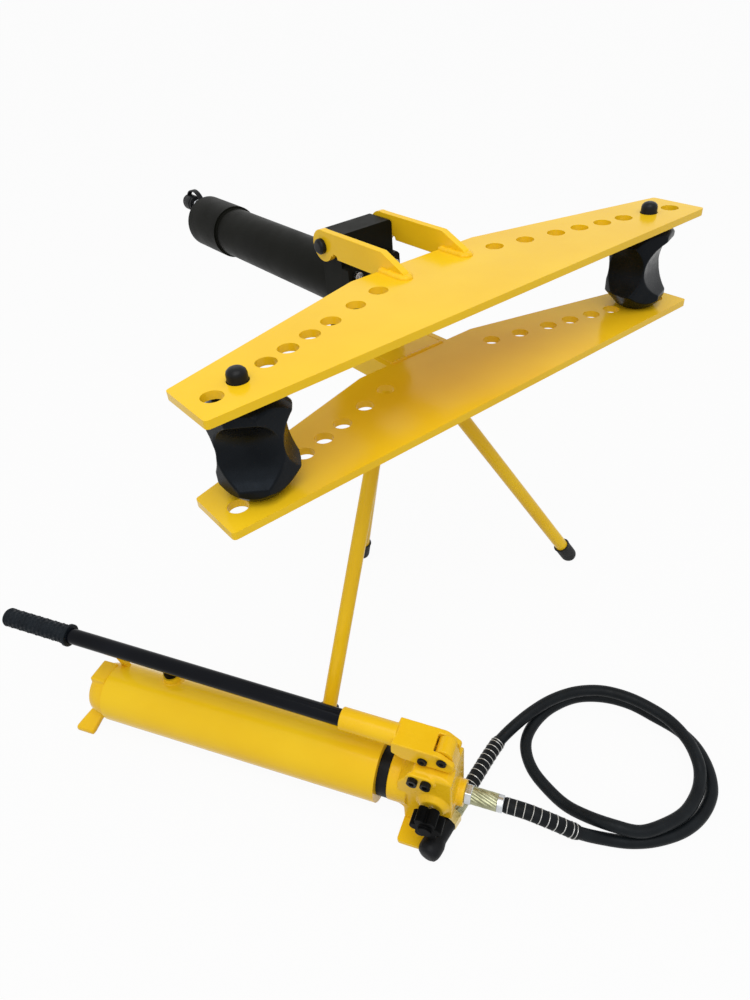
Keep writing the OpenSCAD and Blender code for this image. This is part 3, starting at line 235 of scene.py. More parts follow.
def round_curve(name, line, radius, end_share=1.0):
    """A round curve along a line of points, its two ends drawn in to a share of its radius."""
    data = bpy.data.curves.new(name, "CURVE")
    data.dimensions = "3D"
    data.bevel_depth = radius
    data.bevel_resolution = 8
    data.use_fill_caps = True
    spline = data.splines.new("POLY")
    spline.points.add(len(line) - 1)
    for point, place in zip(spline.points, line):
        point.co = (*place, 1)
    spline.points[0].radius = end_share
    spline.points[-1].radius = end_share
    spline.use_smooth = True
    piece = bpy.data.objects.new(name, data)
    bpy.context.scene.collection.objects.link(piece)
    return piece


clouds_in_patch = 3.7


def finish(
    name, deep, bright, patch, gloss, grain, relief,
    metal=0.0, shine=0.5, tint=(1, 1, 1), stretch=(1, 1, 1),
):
    """A finish that varies over the surface: two tones in soft patches, a gloss between two levels
    and a fine relief, whose grain can be drawn out along one axis."""
    material, tree, main = shader(name)
    links = tree.links
    place = tree.nodes.new("ShaderNodeTexCoord").outputs["Object"]
    patches = tree.nodes.new("ShaderNodeTexNoise")
    patches.inputs["Scale"].default_value = patch
    patches.inputs["Detail"].default_value = 5.0
    links.new(place, patches.inputs["Vector"])
    tones = tree.nodes.new("ShaderNodeValToRGB")
    tones.color_ramp.elements[0].position = 0.34
    tones.color_ramp.elements[0].color = (*deep, 1)
    tones.color_ramp.elements[1].position = 0.66
    tones.color_ramp.elements[1].color = (*bright, 1)
    links.new(patches.outputs["Fac"], tones.inputs["Fac"])
    links.new(tones.outputs["Color"], main.inputs["Base Color"])
    drawn = tree.nodes.new("ShaderNodeMapping")
    drawn.inputs["Scale"].default_value = stretch
    links.new(place, drawn.inputs["Vector"])
    fine = tree.nodes.new("ShaderNodeTexNoise")
    fine.inputs["Scale"].default_value = grain
    fine.inputs["Detail"].default_value = 3.0
    links.new(drawn.outputs["Vector"], fine.inputs["Vector"])
    cloud = tree.nodes.new("ShaderNodeTexNoise")
    cloud.inputs["Scale"].default_value = clouds_in_patch * patch
    cloud.inputs["Detail"].default_value = 6.0
    links.new(place, cloud.inputs["Vector"])
    level = tree.nodes.new("ShaderNodeMapRange")
    level.inputs["From Min"].default_value = 0.3
    level.inputs["From Max"].default_value = 0.7
    level.inputs["To Min"].default_value = gloss[0]
    level.inputs["To Max"].default_value = gloss[1]
    links.new(cloud.outputs["Fac"], level.inputs["Value"])
    links.new(level.outputs["Result"], main.inputs["Roughness"])
    bump = tree.nodes.new("ShaderNodeBump")
    bump.inputs["Strength"].default_value = relief[0]
    bump.inputs["Distance"].default_value = relief[1]
    links.new(fine.outputs["Fac"], bump.inputs["Height"])
    links.new(bump.outputs["Normal"], main.inputs["Normal"])
    main.inputs["Metallic"].default_value = metal
    main.inputs["Specular IOR Level"].default_value = shine
    main.inputs["Specular Tint"].default_value = (*tint, 1)
    return material


def settle(piece, body, slot, material, *hides):
    """Gives a piece its material and body, and the nodes that it stands for."""
    piece.data.materials.append(material)
    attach(piece, body)
    if hides:
        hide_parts(*hides)
    return piece


hose_rubber = finish(
    "hose_rubber", deep=(0.0048, 0.0062, 0.0078), bright=(0.0085, 0.0110, 0.0132), patch=38,
    gloss=(0.36, 0.52), grain=1500, relief=(0.25, 0.0003), shine=0.12,
)
hose_line = smooth_line(hose_points, hose_steps)
hose_piece = round_curve("pressure_hose", hose_line, hose_d / 2)
settle(hose_piece, "pump", "rubber", hose_rubber, "hose")

# Hose guards
# A thicker rubber sleeve over each end of the hose, which keeps it from kinking at the ferrule.
# Bright wire rings are wound round it, two of them close together at the outer end.
guard_d = 0.022
guard_spans = 3
guard_end_share = 0.9
ring_wire = 0.0007
ring_sides = 8
ring_steps = 40
ring_shares = [0.09, 0.19, 0.29, 0.39, 0.49, 0.59, 0.69, 0.79, 0.89, 0.94]
sleeve_rubber = finish(
    "sleeve_rubber", deep=(0.004, 0.005, 0.0062), bright=(0.008, 0.0095, 0.0115), patch=45,
    gloss=(0.42, 0.6), grain=1100, relief=(0.3, 0.0004), shine=0.12,
)
ring_metal = finish(
    "ring_metal", deep=(0.42, 0.42, 0.4), bright=(0.62, 0.62, 0.6), patch=90,
    gloss=(0.3, 0.45), grain=1800, relief=(0.2, 0.0002), metal=0.85,
)
merge_gap = 1e-6
sharp_angle = math.radians(32)


def turned(profile, frame, steps=72):
    """A turned shape: a line of (radius, height) points spun once round an axis."""
    shape = bmesh.new()
    verts = [shape.verts.new((radius, 0, height)) for radius, height in profile]
    edges = [shape.edges.new(pair) for pair in zip(verts, verts[1:])]
    bmesh.ops.spin(
        shape, geom=verts + edges, cent=(0, 0, 0), axis=(0, 0, 1),
        angle=2 * math.pi, steps=steps, use_merge=True,
    )
    bmesh.ops.remove_doubles(shape, verts=shape.verts, dist=merge_gap)
    bmesh.ops.recalc_face_normals(shape, faces=shape.faces)
    bmesh.ops.transform(shape, matrix=frame, verts=shape.verts)
    return shape


def circle_line(radius, centre, sides):
    """A closed round profile of (radius, height) points for a ring."""
    turns = [2 * math.pi * k / sides for k in range(sides + 1)]
    return [(centre + radius * math.cos(t), radius * math.sin(t)) for t in turns]


def joined(shapes):
    """Several shapes as one."""
    whole = bmesh.new()
    for shape in shapes:
        carrier = bpy.data.meshes.new("carrier")
        shape.to_mesh(carrier)
        shape.free()
        whole.from_mesh(carrier)
        bpy.data.meshes.remove(carrier)
    return whole


def as_piece(name, shape, ease=0.0):
    """An object made from a shape, with its sharp edges eased by a small round."""
    mesh = bpy.data.meshes.new(name)
    shape.to_mesh(mesh)
    shape.free()
    mesh.shade_smooth()
    mesh.set_sharp_from_angle(angle=sharp_angle)
    piece = bpy.data.objects.new(name, mesh)
    bpy.context.scene.collection.objects.link(piece)
    if ease:
        round_edge = piece.modifiers.new("eased_edges", "BEVEL")
        round_edge.width = ease
        round_edge.segments = 3
        round_edge.limit_method = "ANGLE"
        round_edge.angle_limit = sharp_angle
        round_edge.harden_normals = True
    return piece


def towards(place, along):
    """A frame at a place, its upright axis along a direction."""
    return Matrix.Translation(place) @ along.to_track_quat("Z", "Y").to_matrix().to_4x4()


guard_steps = hose_steps * guard_spans
guard_lines = [("pump", hose_line[: guard_steps + 1]), ("free", hose_line[-guard_steps - 1:][::-1])]
guard_pieces = []
for end, line in guard_lines:
    guard = round_curve(f"kink_guard_{end}", line, guard_d / 2, guard_end_share)
    settle(guard, "pump", "rubber", sleeve_rubber, f"hose_guard_{end}")
    loops = []
    for share in ring_shares:
        at = share * (len(line) - 1)
        low = int(at)
        along = line[low + 1] - line[low]
        place = line[low] + along * (at - low)
        wire = circle_line(ring_wire, guard_d / 2, ring_sides)
        loops.append(turned(wire, towards(place, along), ring_steps))
    rings = settle(as_piece(f"guard_rings_{end}", joined(loops)), "pump", "zinc", ring_metal)
    guard_pieces += [guard, rings]

# Ferrules and hose fittings
# Swaged steel ferrules with slanting flutes, plated in yellow zinc, between a bright collar at the
# guard and a bright hexagon at the outlet. The free end has a brass hexagon under a black dust cap.
ferrule_d = 0.025
flutes = 15
flute_depth = 0.0009
flute_twist = 1.15
outlet_x = 0.612
axis_z = 0.058
hex_across = 0.027
hex_l = 0.010
hex_edge = 0.0011
yellow_zinc = finish(
    "yellow_zinc", deep=(0.27, 0.27, 0.16), bright=(0.47, 0.475, 0.31), patch=55,
    gloss=(0.26, 0.42), grain=1400, relief=(0.22, 0.0003), metal=1.0,
)
bright_zinc = finish(
    "bright_zinc", deep=(0.50, 0.52, 0.54), bright=(0.70, 0.72, 0.74), patch=48,
    gloss=(0.2, 0.36), grain=1500, relief=(0.15, 0.0002), metal=1.0,
)


def fluted(length, radius, frame):
    """A swaged sleeve: a fluted ring drawn out and turned a little at each step."""
    steps = 22
    shape = bmesh.new()
    ring = bmesh.ops.create_circle(shape, cap_ends=True, radius=radius, segments=8 * flutes)["verts"]
    for v in ring:
        turn = math.atan2(v.co.y, v.co.x)
        v.co *= 1 - flute_depth / radius * (0.5 - 0.5 * math.cos(flutes * turn)) ** 2
    doubled = bmesh.ops.duplicate(shape, geom=shape.faces[:])
    top = [g for g in doubled["geom"] if isinstance(g, bmesh.types.BMFace)]
    for _ in range(steps):
        made = bmesh.ops.extrude_face_region(shape, geom=top)
        old = top
        top = [g for g in made["geom"] if isinstance(g, bmesh.types.BMFace)]
        bmesh.ops.delete(shape, geom=old, context="FACES_ONLY")
        verts = list({v for f in top for v in f.verts})
        bmesh.ops.translate(shape, vec=(0, 0, length / steps), verts=verts)
        bmesh.ops.rotate(
            shape, cent=(0, 0, 0), matrix=Matrix.Rotation(flute_twist / steps, 3, "Z"), verts=verts
        )
    bmesh.ops.remove_doubles(shape, verts=shape.verts, dist=merge_gap)
    bmesh.ops.recalc_face_normals(shape, faces=shape.faces)
    bmesh.ops.transform(shape, matrix=frame, verts=shape.verts)
    return shape


def hexagon(across, length, frame):
    """A plain hexagonal bar, standing on its frame."""
    shape = bmesh.new()
    radius = across / 2 / math.cos(math.radians(30))
    bmesh.ops.create_cone(
        shape, cap_ends=True, segments=6, radius1=radius, radius2=radius, depth=length,
        matrix=Matrix.Translation((0, 0, length / 2)),
    )
    bmesh.ops.transform(shape, matrix=frame, verts=shape.verts)
    return shape


def along_pump(u, v, w):
    """A frame at a place of the pump, its upright axis along the pump's tank."""
    return pump_frame @ Matrix.Translation((u, v, w)) @ Matrix.Rotation(math.radians(90), 4, "Y")


collar_l = 0.009
ferrule_start = outlet_x + hex_l
ferrule_l = hose_route[0][0] / mm_in_metre - ferrule_start
ferrule_place = along_pump(ferrule_start, 0, axis_z)
pump_ferrule = as_piece(
    "swaged_ferrule_pump", fluted(ferrule_l - collar_l, ferrule_d / 2, ferrule_place)
)
settle(pump_ferrule, "pump", "brass", yellow_zinc, "hose_ferrule_pump")
collar_profile = [
    (0, 0), (0.0118, 0), (0.0124, 0.0006), (0.0124, collar_l - 0.0012),
    (0.0114, collar_l - 0.0002), (0, collar_l),
]
collar_place = along_pump(ferrule_start + ferrule_l - collar_l, 0, axis_z)
pump_collar = as_piece("ferrule_collar_pump", turned(collar_profile, collar_place))
settle(pump_collar, "pump", "zinc", bright_zinc)
outlet_shape = hexagon(hex_across, hex_l, along_pump(outlet_x, 0, axis_z))
outlet_hex = as_piece("outlet_hexagon", outlet_shape, hex_edge)
settle(outlet_hex, "pump", "zinc", bright_zinc, "hose_nipple")

free_end = hose_points[-1]
free_span = 4
free_along = (hose_line[-1] - hose_line[-1 - free_span]).normalized()
free_ferrule_l = 0.045
free_hex_l = 0.018


def along_free(distance):
    """A frame on the free end's axis, a distance past the hose's own end."""
    return towards(free_end + free_along * distance, free_along)


free_collar = as_piece("ferrule_collar_free", turned(collar_profile, along_free(0)))
settle(free_collar, "pump", "zinc", bright_zinc)
free_ferrule = as_piece(
    "swaged_ferrule_free", fluted(free_ferrule_l - collar_l, ferrule_d / 2, along_free(collar_l))
)
settle(free_ferrule, "pump", "brass", yellow_zinc, "hose_ferrule_free")
brass_hex_metal = finish(
    "brass_hexagon", deep=(0.62, 0.47, 0.17), bright=(0.80, 0.66, 0.30), patch=60,
    gloss=(0.22, 0.36), grain=1500, relief=(0.15, 0.0002), metal=1.0,
)
free_shape = hexagon(hex_across, free_hex_l, along_free(free_ferrule_l))
free_hex = as_piece("coupler_hexagon", free_shape, hex_edge)
settle(free_hex, "pump", "zinc", brass_hex_metal, "hose_coupler")
moulded_rubber = finish(
    "moulded_rubber", deep=(0.004, 0.0044, 0.0052), bright=(0.0085, 0.0092, 0.0105), patch=60,
    gloss=(0.38, 0.55), grain=900, relief=(0.25, 0.0004), shine=0.12,
)
cap_start = free_ferrule_l + free_hex_l
cap_profile = [
    (0, 0), (0.0135, 0), (0.0138, 0.002), (0.0132, 0.004), (0.0135, 0.012), (0.0135, 0.024),
    (0.0138, 0.0275), (0.0150, 0.031), (0.0162, 0.035), (0.0165, 0.040), (0.0165, 0.046),
    (0.0158, 0.051), (0.0140, 0.0550), (0.0105, 0.0572), (0.0060, 0.0580), (0, 0.0580),
]
dust_cap = as_piece("hose_dust_cap", turned(cap_profile, along_free(cap_start)))
settle(dust_cap, "pump", "rubber", moulded_rubber, "hose_cap")

# Wing plates
# Two heavy flat plates, flame-cut to the same outline, drilled with two rows of eight pin seats,
# their edges rounded by grinding and sprayed with a thick glossy yellow enamel.
plate_edge = 0.0018
yellow_enamel = finish(
    "yellow_enamel", deep=(0.86, 0.525, 0.010), bright=(0.91, 0.585, 0.015), patch=6,
    gloss=(0.14, 0.22), grain=520, relief=(0.05, 0.0003), shine=0.17,
)
cad_gap = 2e-5
flat_angle = math.radians(0.6)


def copied(node):
    """A CAD node's shape with its loose triangles merged into whole faces."""
    shape = bmesh.new()
    shape.from_mesh(nodes[node].data)
    bmesh.ops.remove_doubles(shape, verts=shape.verts, dist=cad_gap)
    bmesh.ops.dissolve_limit(
        shape, angle_limit=flat_angle, verts=shape.verts, edges=shape.edges, use_dissolve_boundaries=False
    )
    return shape


def eased(node, prefix, width, body, slot, material):
    """A node's own shape with its edges eased, in its real finish."""
    piece = as_piece(f"{prefix}_{node}", copied(node), width)
    return settle(piece, body, slot, material, node)


eased("lower_wing_plate", "enamelled", plate_edge, "frame", "yellow_paint", yellow_enamel)
eased("upper_wing_plate", "enamelled", plate_edge, "upper_plate", "yellow_paint", yellow_enamel)

# Hinge arms and bridge plate
# Flat arms cut from the same plate stand on edge on each wing plate and carry the hinge bolts.
# A bridge plate closes the gap under the cylinder. All are welded on, and painted over.
arm_edge = 0.0014
eased("upper_hinge_arms", "enamelled", arm_edge, "upper_plate", "yellow_paint", yellow_enamel)
eased("lower_hinge_arms", "enamelled", arm_edge, "frame", "yellow_paint", yellow_enamel)
eased("bridge_plate", "enamelled", arm_edge, "frame", "yellow_paint", yellow_enamel)
weld_enamel = finish(
    "weld_enamel", deep=(0.85, 0.495, 0.009), bright=(0.90, 0.555, 0.014), patch=20,
    gloss=(0.22, 0.36), grain=300, relief=(0.15, 0.0006), shine=0.19,
)
bead_step = 0.0021


def fine_grained(shape, voxel, rounds, frame=Matrix.Identity(4)):
    """A shape in fine even faces, its edges and corners run together as in a casting or a weld."""
    bmesh.ops.transform(shape, matrix=frame.inverted(), verts=shape.verts)
    mesh = bpy.data.meshes.new("rough_form")
    shape.to_mesh(mesh)
    shape.free()
    rough = bpy.data.objects.new("rough_form", mesh)
    bpy.context.scene.collection.objects.link(rough)
    even = rough.modifiers.new("even_faces", "REMESH")
    even.mode = "VOXEL"
    even.voxel_size = voxel
    soft = rough.modifiers.new("soft_edges", "SMOOTH")
    soft.factor = 0.5
    soft.iterations = rounds
    made = rough.evaluated_get(bpy.context.evaluated_depsgraph_get())
    form = bmesh.new()
    form.from_mesh(made.to_mesh())
    bpy.data.objects.remove(rough)
    bmesh.ops.transform(form, matrix=frame, verts=form.verts)
    return form


def bead(points, width, rise):
    """A weld bead along a line: overlapping drops melted into one rippled strip."""
    shape = bmesh.new()
    number = 0
    for a, b in zip(points, points[1:]):
        count = max(1, round((b - a).length / bead_step))
        for k in range(count):
            swell = 1 + 0.10 * math.sin(1.9 * number) + 0.06 * math.sin(0.7 * number + 1)
            drop_size = Matrix.Diagonal((width, width, rise * swell, 1))
            drop = Matrix.Translation(a.lerp(b, k / count)) @ drop_size
            bmesh.ops.create_icosphere(shape, subdivisions=2, radius=1, matrix=drop)
            number += 1
    return shape


upper_top = 0.680
stand_h = 0.530
arm_sides = (0.0485, 0.0585)
arm_front = -0.0285
arm_back = 0.0185
turn_back = 0.004
turn_in = 0.003
arm_bead = (0.0066, 0.0052)


def round_arm(left, right, height):
    """A line round the front of an arm's foot and back along its two sides."""
    corners = [
        (right, arm_back), (right, arm_front + turn_back), (right - turn_in, arm_front),
        (left + turn_in, arm_front), (left, arm_front + turn_back), (left, arm_back),
    ]
    return [bender_origin + Vector((x, y, height)) for x, y in corners]


for plate, body, height in (("upper", "upper_plate", upper_top), ("lower", "frame", stand_h)):
    beads = []
    for side in (-1, 1):
        edges = sorted(side * x for x in arm_sides)
        beads.append(bead(round_arm(edges[0], edges[1], height), *arm_bead))
    welds = as_piece(f"arm_welds_{plate}", fine_grained(joined(beads), voxel=0.0009, rounds=8))
    settle(welds, body, "yellow_paint", weld_enamel)
bridge_half = 0.0475
bridge_front = 0.019
bridge_t = 0.010
bridge_bead = (0.0042, 0.0026)
bridge_seams = []
for height in (stand_h, stand_h + bridge_t):
    ends = [bender_origin + Vector((x, bridge_front, height)) for x in (-bridge_half, bridge_half)]
    bridge_seams.append(bead(ends, *bridge_bead))
seam_piece = as_piece("bridge_welds", fine_grained(joined(bridge_seams), voxel=0.0008, rounds=3))
settle(seam_piece, "frame", "yellow_paint", weld_enamel)

# Legs
# Three steel tubes pushed into sockets that are welded under the bridge plate, painted as the
# plates are, with moulded rubber feet pressed on.
leg_top_x = 0.013
leg_top_y = 0.062
foot_x = 0.304
foot_y = -0.071
foot_z = 0.009
rear_top_y = 0.085
rear_foot_y = 0.222
leg_ends = [
    ("left", (-leg_top_x, leg_top_y, stand_h), (-foot_x, foot_y, foot_z)),
    ("right", (leg_top_x, leg_top_y, stand_h), (foot_x, foot_y, foot_z)),
    ("rear", (0, rear_top_y, stand_h), (0, rear_foot_y, foot_z)),
]
leg_d = 0.024
leg_start = 0.016
bar_edge = 0.0012
for name, top, foot in leg_ends:
    run = Vector(foot) - Vector(top)
    frame_top = towards(bender_origin + Vector(top), run.normalized())
    tube = [(0, leg_start), (leg_d / 2, leg_start), (leg_d / 2, run.length), (0, run.length)]
    leg = as_piece(f"leg_tube_{name}", turned(tube, frame_top))
    settle(leg, "frame", "yellow_paint", yellow_enamel, f"leg_{name}")
eased("leg_sockets", "enamelled", bar_edge, "frame", "yellow_paint", yellow_enamel)
foot_rubber = finish(
    "foot_rubber", deep=(0.010, 0.0105, 0.011), bright=(0.024, 0.024, 0.025), patch=50,
    gloss=(0.5, 0.7), grain=700, relief=(0.3, 0.0005), shine=0.2,
)
feet_form = fine_grained(copied("leg_feet"), voxel=0.0009, rounds=4)
settle(as_piece("moulded_feet", feet_form), "frame", "rubber", foot_rubber, "leg_feet")
socket_weld_r = 0.01648
socket_bead = (0.0038, 0.0038)
weld_points = 24
socket_beads = []
for name, top, foot in leg_ends:
    ring = []
    for k in range(weld_points + 1):
        turn = 2 * math.pi * k / weld_points
        around = Vector((socket_weld_r * math.cos(turn), socket_weld_r * math.sin(turn), 0))
        ring.append(bender_origin + Vector(top) + around)
    socket_beads.append(bead(ring, *socket_bead))
socket_form = fine_grained(joined(socket_beads), voxel=0.0008, rounds=3)
settle(as_piece("socket_welds", socket_form), "frame", "yellow_paint", weld_enamel)

# Cylinder block and flange
# A squared steel block holds the barrel between the hinge arms, with a gland flange screwed on in
# front. Both are milled, chamfered and painted satin black, and the hinge bolts are blacked.
block_edge = 0.0016
fine_edge = 0.0006
black_enamel = finish(
    "black_enamel", deep=(0.0050, 0.0052, 0.0038), bright=(0.0082, 0.0085, 0.0064), patch=9,
    gloss=(0.36, 0.48), grain=640, relief=(0.12, 0.0004), shine=0.045,
)
blacked_steel = finish(
    "blacked_steel", deep=(0.0040, 0.0043, 0.0046), bright=(0.0090, 0.0096, 0.0105), patch=70,
    gloss=(0.28, 0.42), grain=900, relief=(0.15, 0.0003), shine=0.16,
)
eased("cylinder_block", "enamelled", block_edge, "frame", "black_paint", black_enamel)
eased("gland_flange", "enamelled", arm_edge, "frame", "black_paint", black_enamel)
eased("upper_arm_bolts", "blacked", bar_edge, "frame", "black_paint", blacked_steel)
eased("lower_arm_bolts", "blacked", bar_edge, "frame", "black_paint", blacked_steel)
ground_steel = finish(
    "ground_steel", deep=(0.40, 0.41, 0.43), bright=(0.58, 0.59, 0.61), patch=30,
    gloss=(0.16, 0.3), grain=260, relief=(0.2, 0.0003), metal=1.0, stretch=(6, 1, 6),
)
eased("flange_screws", "socket", fine_edge, "frame", "steel", ground_steel)

# Barrel and rear collar
# The barrel is a drawn tube, screwed into the block in front and into a turned collar behind that
# closes its chamber and carries the coupler. Both are painted satin black.
ram_z = 0.609
barrel_r = 0.0415
barrel_l = 0.438
barrel_from = 0.124
bore_r = 0.0315
tube_edge = 0.0009
round_steps = 128


def along_ram(y, up=0.0, across=0.0):
    """A frame on the ram's axis, its upright axis pointing to the rear."""
    place = Matrix.Translation(bender_origin + Vector((across, y, ram_z + up)))
    return place @ Matrix.Rotation(math.radians(-90), 4, "X")


barrel_profile = [(bore_r, 0), (barrel_r, 0), (barrel_r, barrel_l), (bore_r, barrel_l), (bore_r, 0)]
settle(
    as_piece("painted_barrel", turned(barrel_profile, along_ram(barrel_from), round_steps), fine_edge),
    "frame", "black_paint", black_enamel, "cylinder_barrel",
)
rear_r = 0.0455
rear_l = 0.110
rear_from = 0.522
rear_chamfer = 0.003
rear_step = 0.005
thread_end = 0.040
chamber_end = 0.092
rear_profile = [
    (barrel_r, 0), (rear_r - rear_chamfer, 0), (rear_r - rear_chamfer, rear_step), (rear_r, rear_step),
    (rear_r, rear_l - rear_chamfer), (rear_r - rear_chamfer, rear_l), (0, rear_l), (0, chamber_end),
    (bore_r, chamber_end), (bore_r, thread_end), (barrel_r, thread_end), (barrel_r, 0),
]
settle(
    as_piece("painted_collar", turned(rear_profile, along_ram(rear_from), round_steps), tube_edge),
    "frame", "black_paint", black_enamel, "rear_collar",
)

# Coupler
# A zinc-plated quick coupler screwed into the collar, closed by a rubber dust cap. A strap of the
# same rubber hangs on a ring behind the hexagon and arches over to the cap.
port_up = 0.024
coupler_y = rear_from + rear_l
coupler_hex = 0.024
coupler_hex_l = 0.012
strap_edge = 0.0007
nipple_profile = [
    (0, 0.012), (0.0095, 0.012), (0.0095, 0.0215), (0.0082, 0.0225), (0.0082, 0.0255), (0.0095, 0.0265),
    (0.0095, 0.031), (0.0088, 0.0315), (0.0088, 0.0325), (0.0095, 0.033), (0.0095, 0.061), (0, 0.061),
]
coupler_parts = [
    turned(nipple_profile, along_ram(coupler_y, port_up)),
    hexagon(coupler_hex, coupler_hex_l, along_ram(coupler_y, port_up)),
]
coupler = as_piece("plated_coupler", joined(coupler_parts), fine_edge)
settle(coupler, "frame", "zinc", bright_zinc, "coupler_nipple")
cap_y = 0.670
cap_r = 0.0145
coupler_cap_profile = [
    (0.0096, 0), (cap_r - 0.0006, 0), (cap_r, 0.0008), (cap_r, 0.004), (cap_r - 0.0012, 0.0052),
    (cap_r - 0.0012, 0.008), (cap_r, 0.0092), (cap_r, 0.031), (cap_r - 0.0014, 0.0345),
    (cap_r - 0.004, 0.036), (0, 0.036),
]
settle(
    as_piece("coupler_dust_cap", turned(coupler_cap_profile, along_ram(cap_y, port_up))),
    "frame", "rubber", moulded_rubber, "coupler_cap",
)
eased("coupler_strap", "moulded", strap_edge, "frame", "rubber", moulded_rubber)

# Ram
# A ground steel rod with a piston and its seal in the barrel, guided by a bronze bush and pulled
# back by a spring. The blacked nose in front has a socket for a bending former.
bearing_bronze = finish(
    "bearing_bronze", deep=(0.40, 0.27, 0.10), bright=(0.58, 0.42, 0.20), patch=50,
    gloss=(0.25, 0.4), grain=500, relief=(0.15, 0.0003), metal=1.0,
)
spring_steel = finish(
    "spring_steel", deep=(0.18, 0.18, 0.19), bright=(0.34, 0.34, 0.35), patch=60,
    gloss=(0.28, 0.42), grain=700, relief=(0.15, 0.0003), metal=1.0,
)


def dressed(node, material):
    """A node that keeps its own shape and gets its real finish."""
    for place in nodes[node].material_slots:
        place.material = material


dressed("ram_rod", ground_steel)
dressed("ram_piston", ground_steel)
dressed("guide_bush", bearing_bronze)
dressed("return_spring", spring_steel)
dressed("piston_seal", moulded_rubber)
dressed("rod_wiper", moulded_rubber)
eased("ram_nose", "blacked", bar_edge, "ram", "black_paint", blacked_steel)

# Shoes and their pins
# Cast iron bending shoes with a groove of another size on each face, blacked all over, their
# edges left soft from the mould. Each turns on a plain pin with a domed head.
# The blue tint on this finish's reflections is a painted reflection of a blue sky, not a colour of the
# blacked iron.
blacked_casting = finish(
    "blacked_casting", deep=(0.0038, 0.0040, 0.0042), bright=(0.0085, 0.0092, 0.0102), patch=24,
    gloss=(0.22, 0.36), grain=420, relief=(0.16, 0.0006), shine=0.1, tint=(0.62, 0.78, 1.0),
)
for side in ("left", "right"):
    shoe_form = fine_grained(copied(f"shoe_{side}"), voxel=0.0013, rounds=3)
    shoe = as_piece(f"cast_shoe_{side}", shoe_form)
    settle(shoe, f"{side}_shoe", "black_casting", blacked_casting, f"shoe_{side}")
    eased(f"shoe_pin_{side}", "blacked", bar_edge, f"{side}_shoe", "black_paint", blacked_steel)

# Pump tank
# A drawn steel tank tube with a welded filler neck, a cast end cap with a flat pad and two splayed
# feet behind, and a black rubber gasket against the head. Tank and cap wear the same yellow enamel.
tank_r = 0.048
eased("reservoir_tube", "enamelled", tube_edge, "pump", "yellow_paint", yellow_enamel)
cast_enamel = finish(
    "cast_enamel", deep=(0.85, 0.50, 0.009), bright=(0.91, 0.565, 0.014), patch=11,
    gloss=(0.2, 0.32), grain=190, relief=(0.12, 0.0011), shine=0.19,
)
end_form = fine_grained(copied("reservoir_end_cap"), voxel=0.0013, rounds=30, frame=pump_frame)
settle(as_piece("cast_end_cap", end_form), "pump", "yellow_paint", cast_enamel, "reservoir_end_cap")
eased("tank_gasket", "moulded", tube_edge, "pump", "rubber", moulded_rubber)
dressed("tie_rod", bright_zinc)
dressed("suction_strainer", brass_hex_metal)
filler_x = 0.120
filler_y = 0.022
neck_weld_r = 0.0145
neck_points = 28
neck_bead = (0.0026, 0.0022)
neck_ring = []
for k in range(neck_points + 1):
    turn = 2 * math.pi * k / neck_points
    across = filler_y + neck_weld_r * math.sin(turn)
    on_tank = axis_z + math.sqrt(tank_r ** 2 - across ** 2)
    neck_ring.append(pump_frame @ Vector((filler_x + neck_weld_r * math.cos(turn), across, on_tank)))
neck_form = fine_grained(bead(neck_ring, *neck_bead), voxel=0.0006, rounds=3)
settle(as_piece("filler_neck_weld", neck_form), "pump", "yellow_paint", weld_enamel)
black_plastic = finish(
    "black_plastic", deep=(0.0024, 0.0026, 0.0028), bright=(0.0046, 0.0048, 0.0052), patch=50,
    gloss=(0.32, 0.46), grain=1200, relief=(0.2, 0.0003), shine=0.025,
)
neck_l = 0.009
filler_top = axis_z + tank_r + neck_l
cap_ridges = 24
ridge_from = 0.0008
ridge_to = 0.0140
ridge_inside = 0.011
ridge_share = 0.05
filler_profile = [
    (0.0068, -0.012), (0.0068, 0.0003), (0.0112, 0.0003), (0.0118, 0.001), (0.0118, 0.0135),
    (0.0112, 0.0150), (0.0098, 0.0170), (0.0080, 0.0180), (0.0050, 0.0176), (0, 0.0174),
]
filler_shape = turned(filler_profile, Matrix.Identity(4), 3 * cap_ridges)
for v in filler_shape.verts:
    if ridge_from < v.co.z < ridge_to and v.co.xy.length > ridge_inside:
        ridge = 0.5 + 0.5 * math.cos(cap_ridges * math.atan2(v.co.y, v.co.x))
        v.co.xy *= 1 - ridge_share * ridge
filler_place = pump_frame @ Matrix.Translation((filler_x, filler_y, filler_top))
bmesh.ops.transform(filler_shape, matrix=filler_place, verts=filler_shape.verts)
settle(as_piece("ridged_filler_cap", filler_shape), "filler", "black_plastic", black_plastic, "filler_cap")

# Pump head
# A cast body with a round neck to the tank, a lug that carries the lever and a boss for the outlet,
# standing on a flat base plate. Two blacked plugs close its valve bores on a raised pad.
plug_edge = 0.0008
rest_edge = 0.001
head_form = fine_grained(copied("pump_head"), voxel=0.0011, rounds=9, frame=pump_frame)
settle(as_piece("cast_pump_head", head_form), "pump", "yellow_paint", cast_enamel, "pump_head")
eased("base_plate", "enamelled", bar_edge, "pump", "yellow_paint", yellow_enamel)
eased("valve_plugs", "blacked", plug_edge, "pump", "black_paint", blacked_steel)
eased("plunger_gland", "turned", fine_edge, "pump", "steel", ground_steel)
eased("handle_rest", "enamelled", rest_edge, "pump", "yellow_paint", yellow_enamel)

# Release valve
# A moulded black knob with six rounded lobes on a steel stem, which opens the release valve.
knob_form = fine_grained(copied("release_knob"), voxel=0.0006, rounds=6, frame=pump_frame)
settle(as_piece("lobed_knob", knob_form), "release", "black_plastic", black_plastic, "release_knob")
dressed("release_stem", ground_steel)

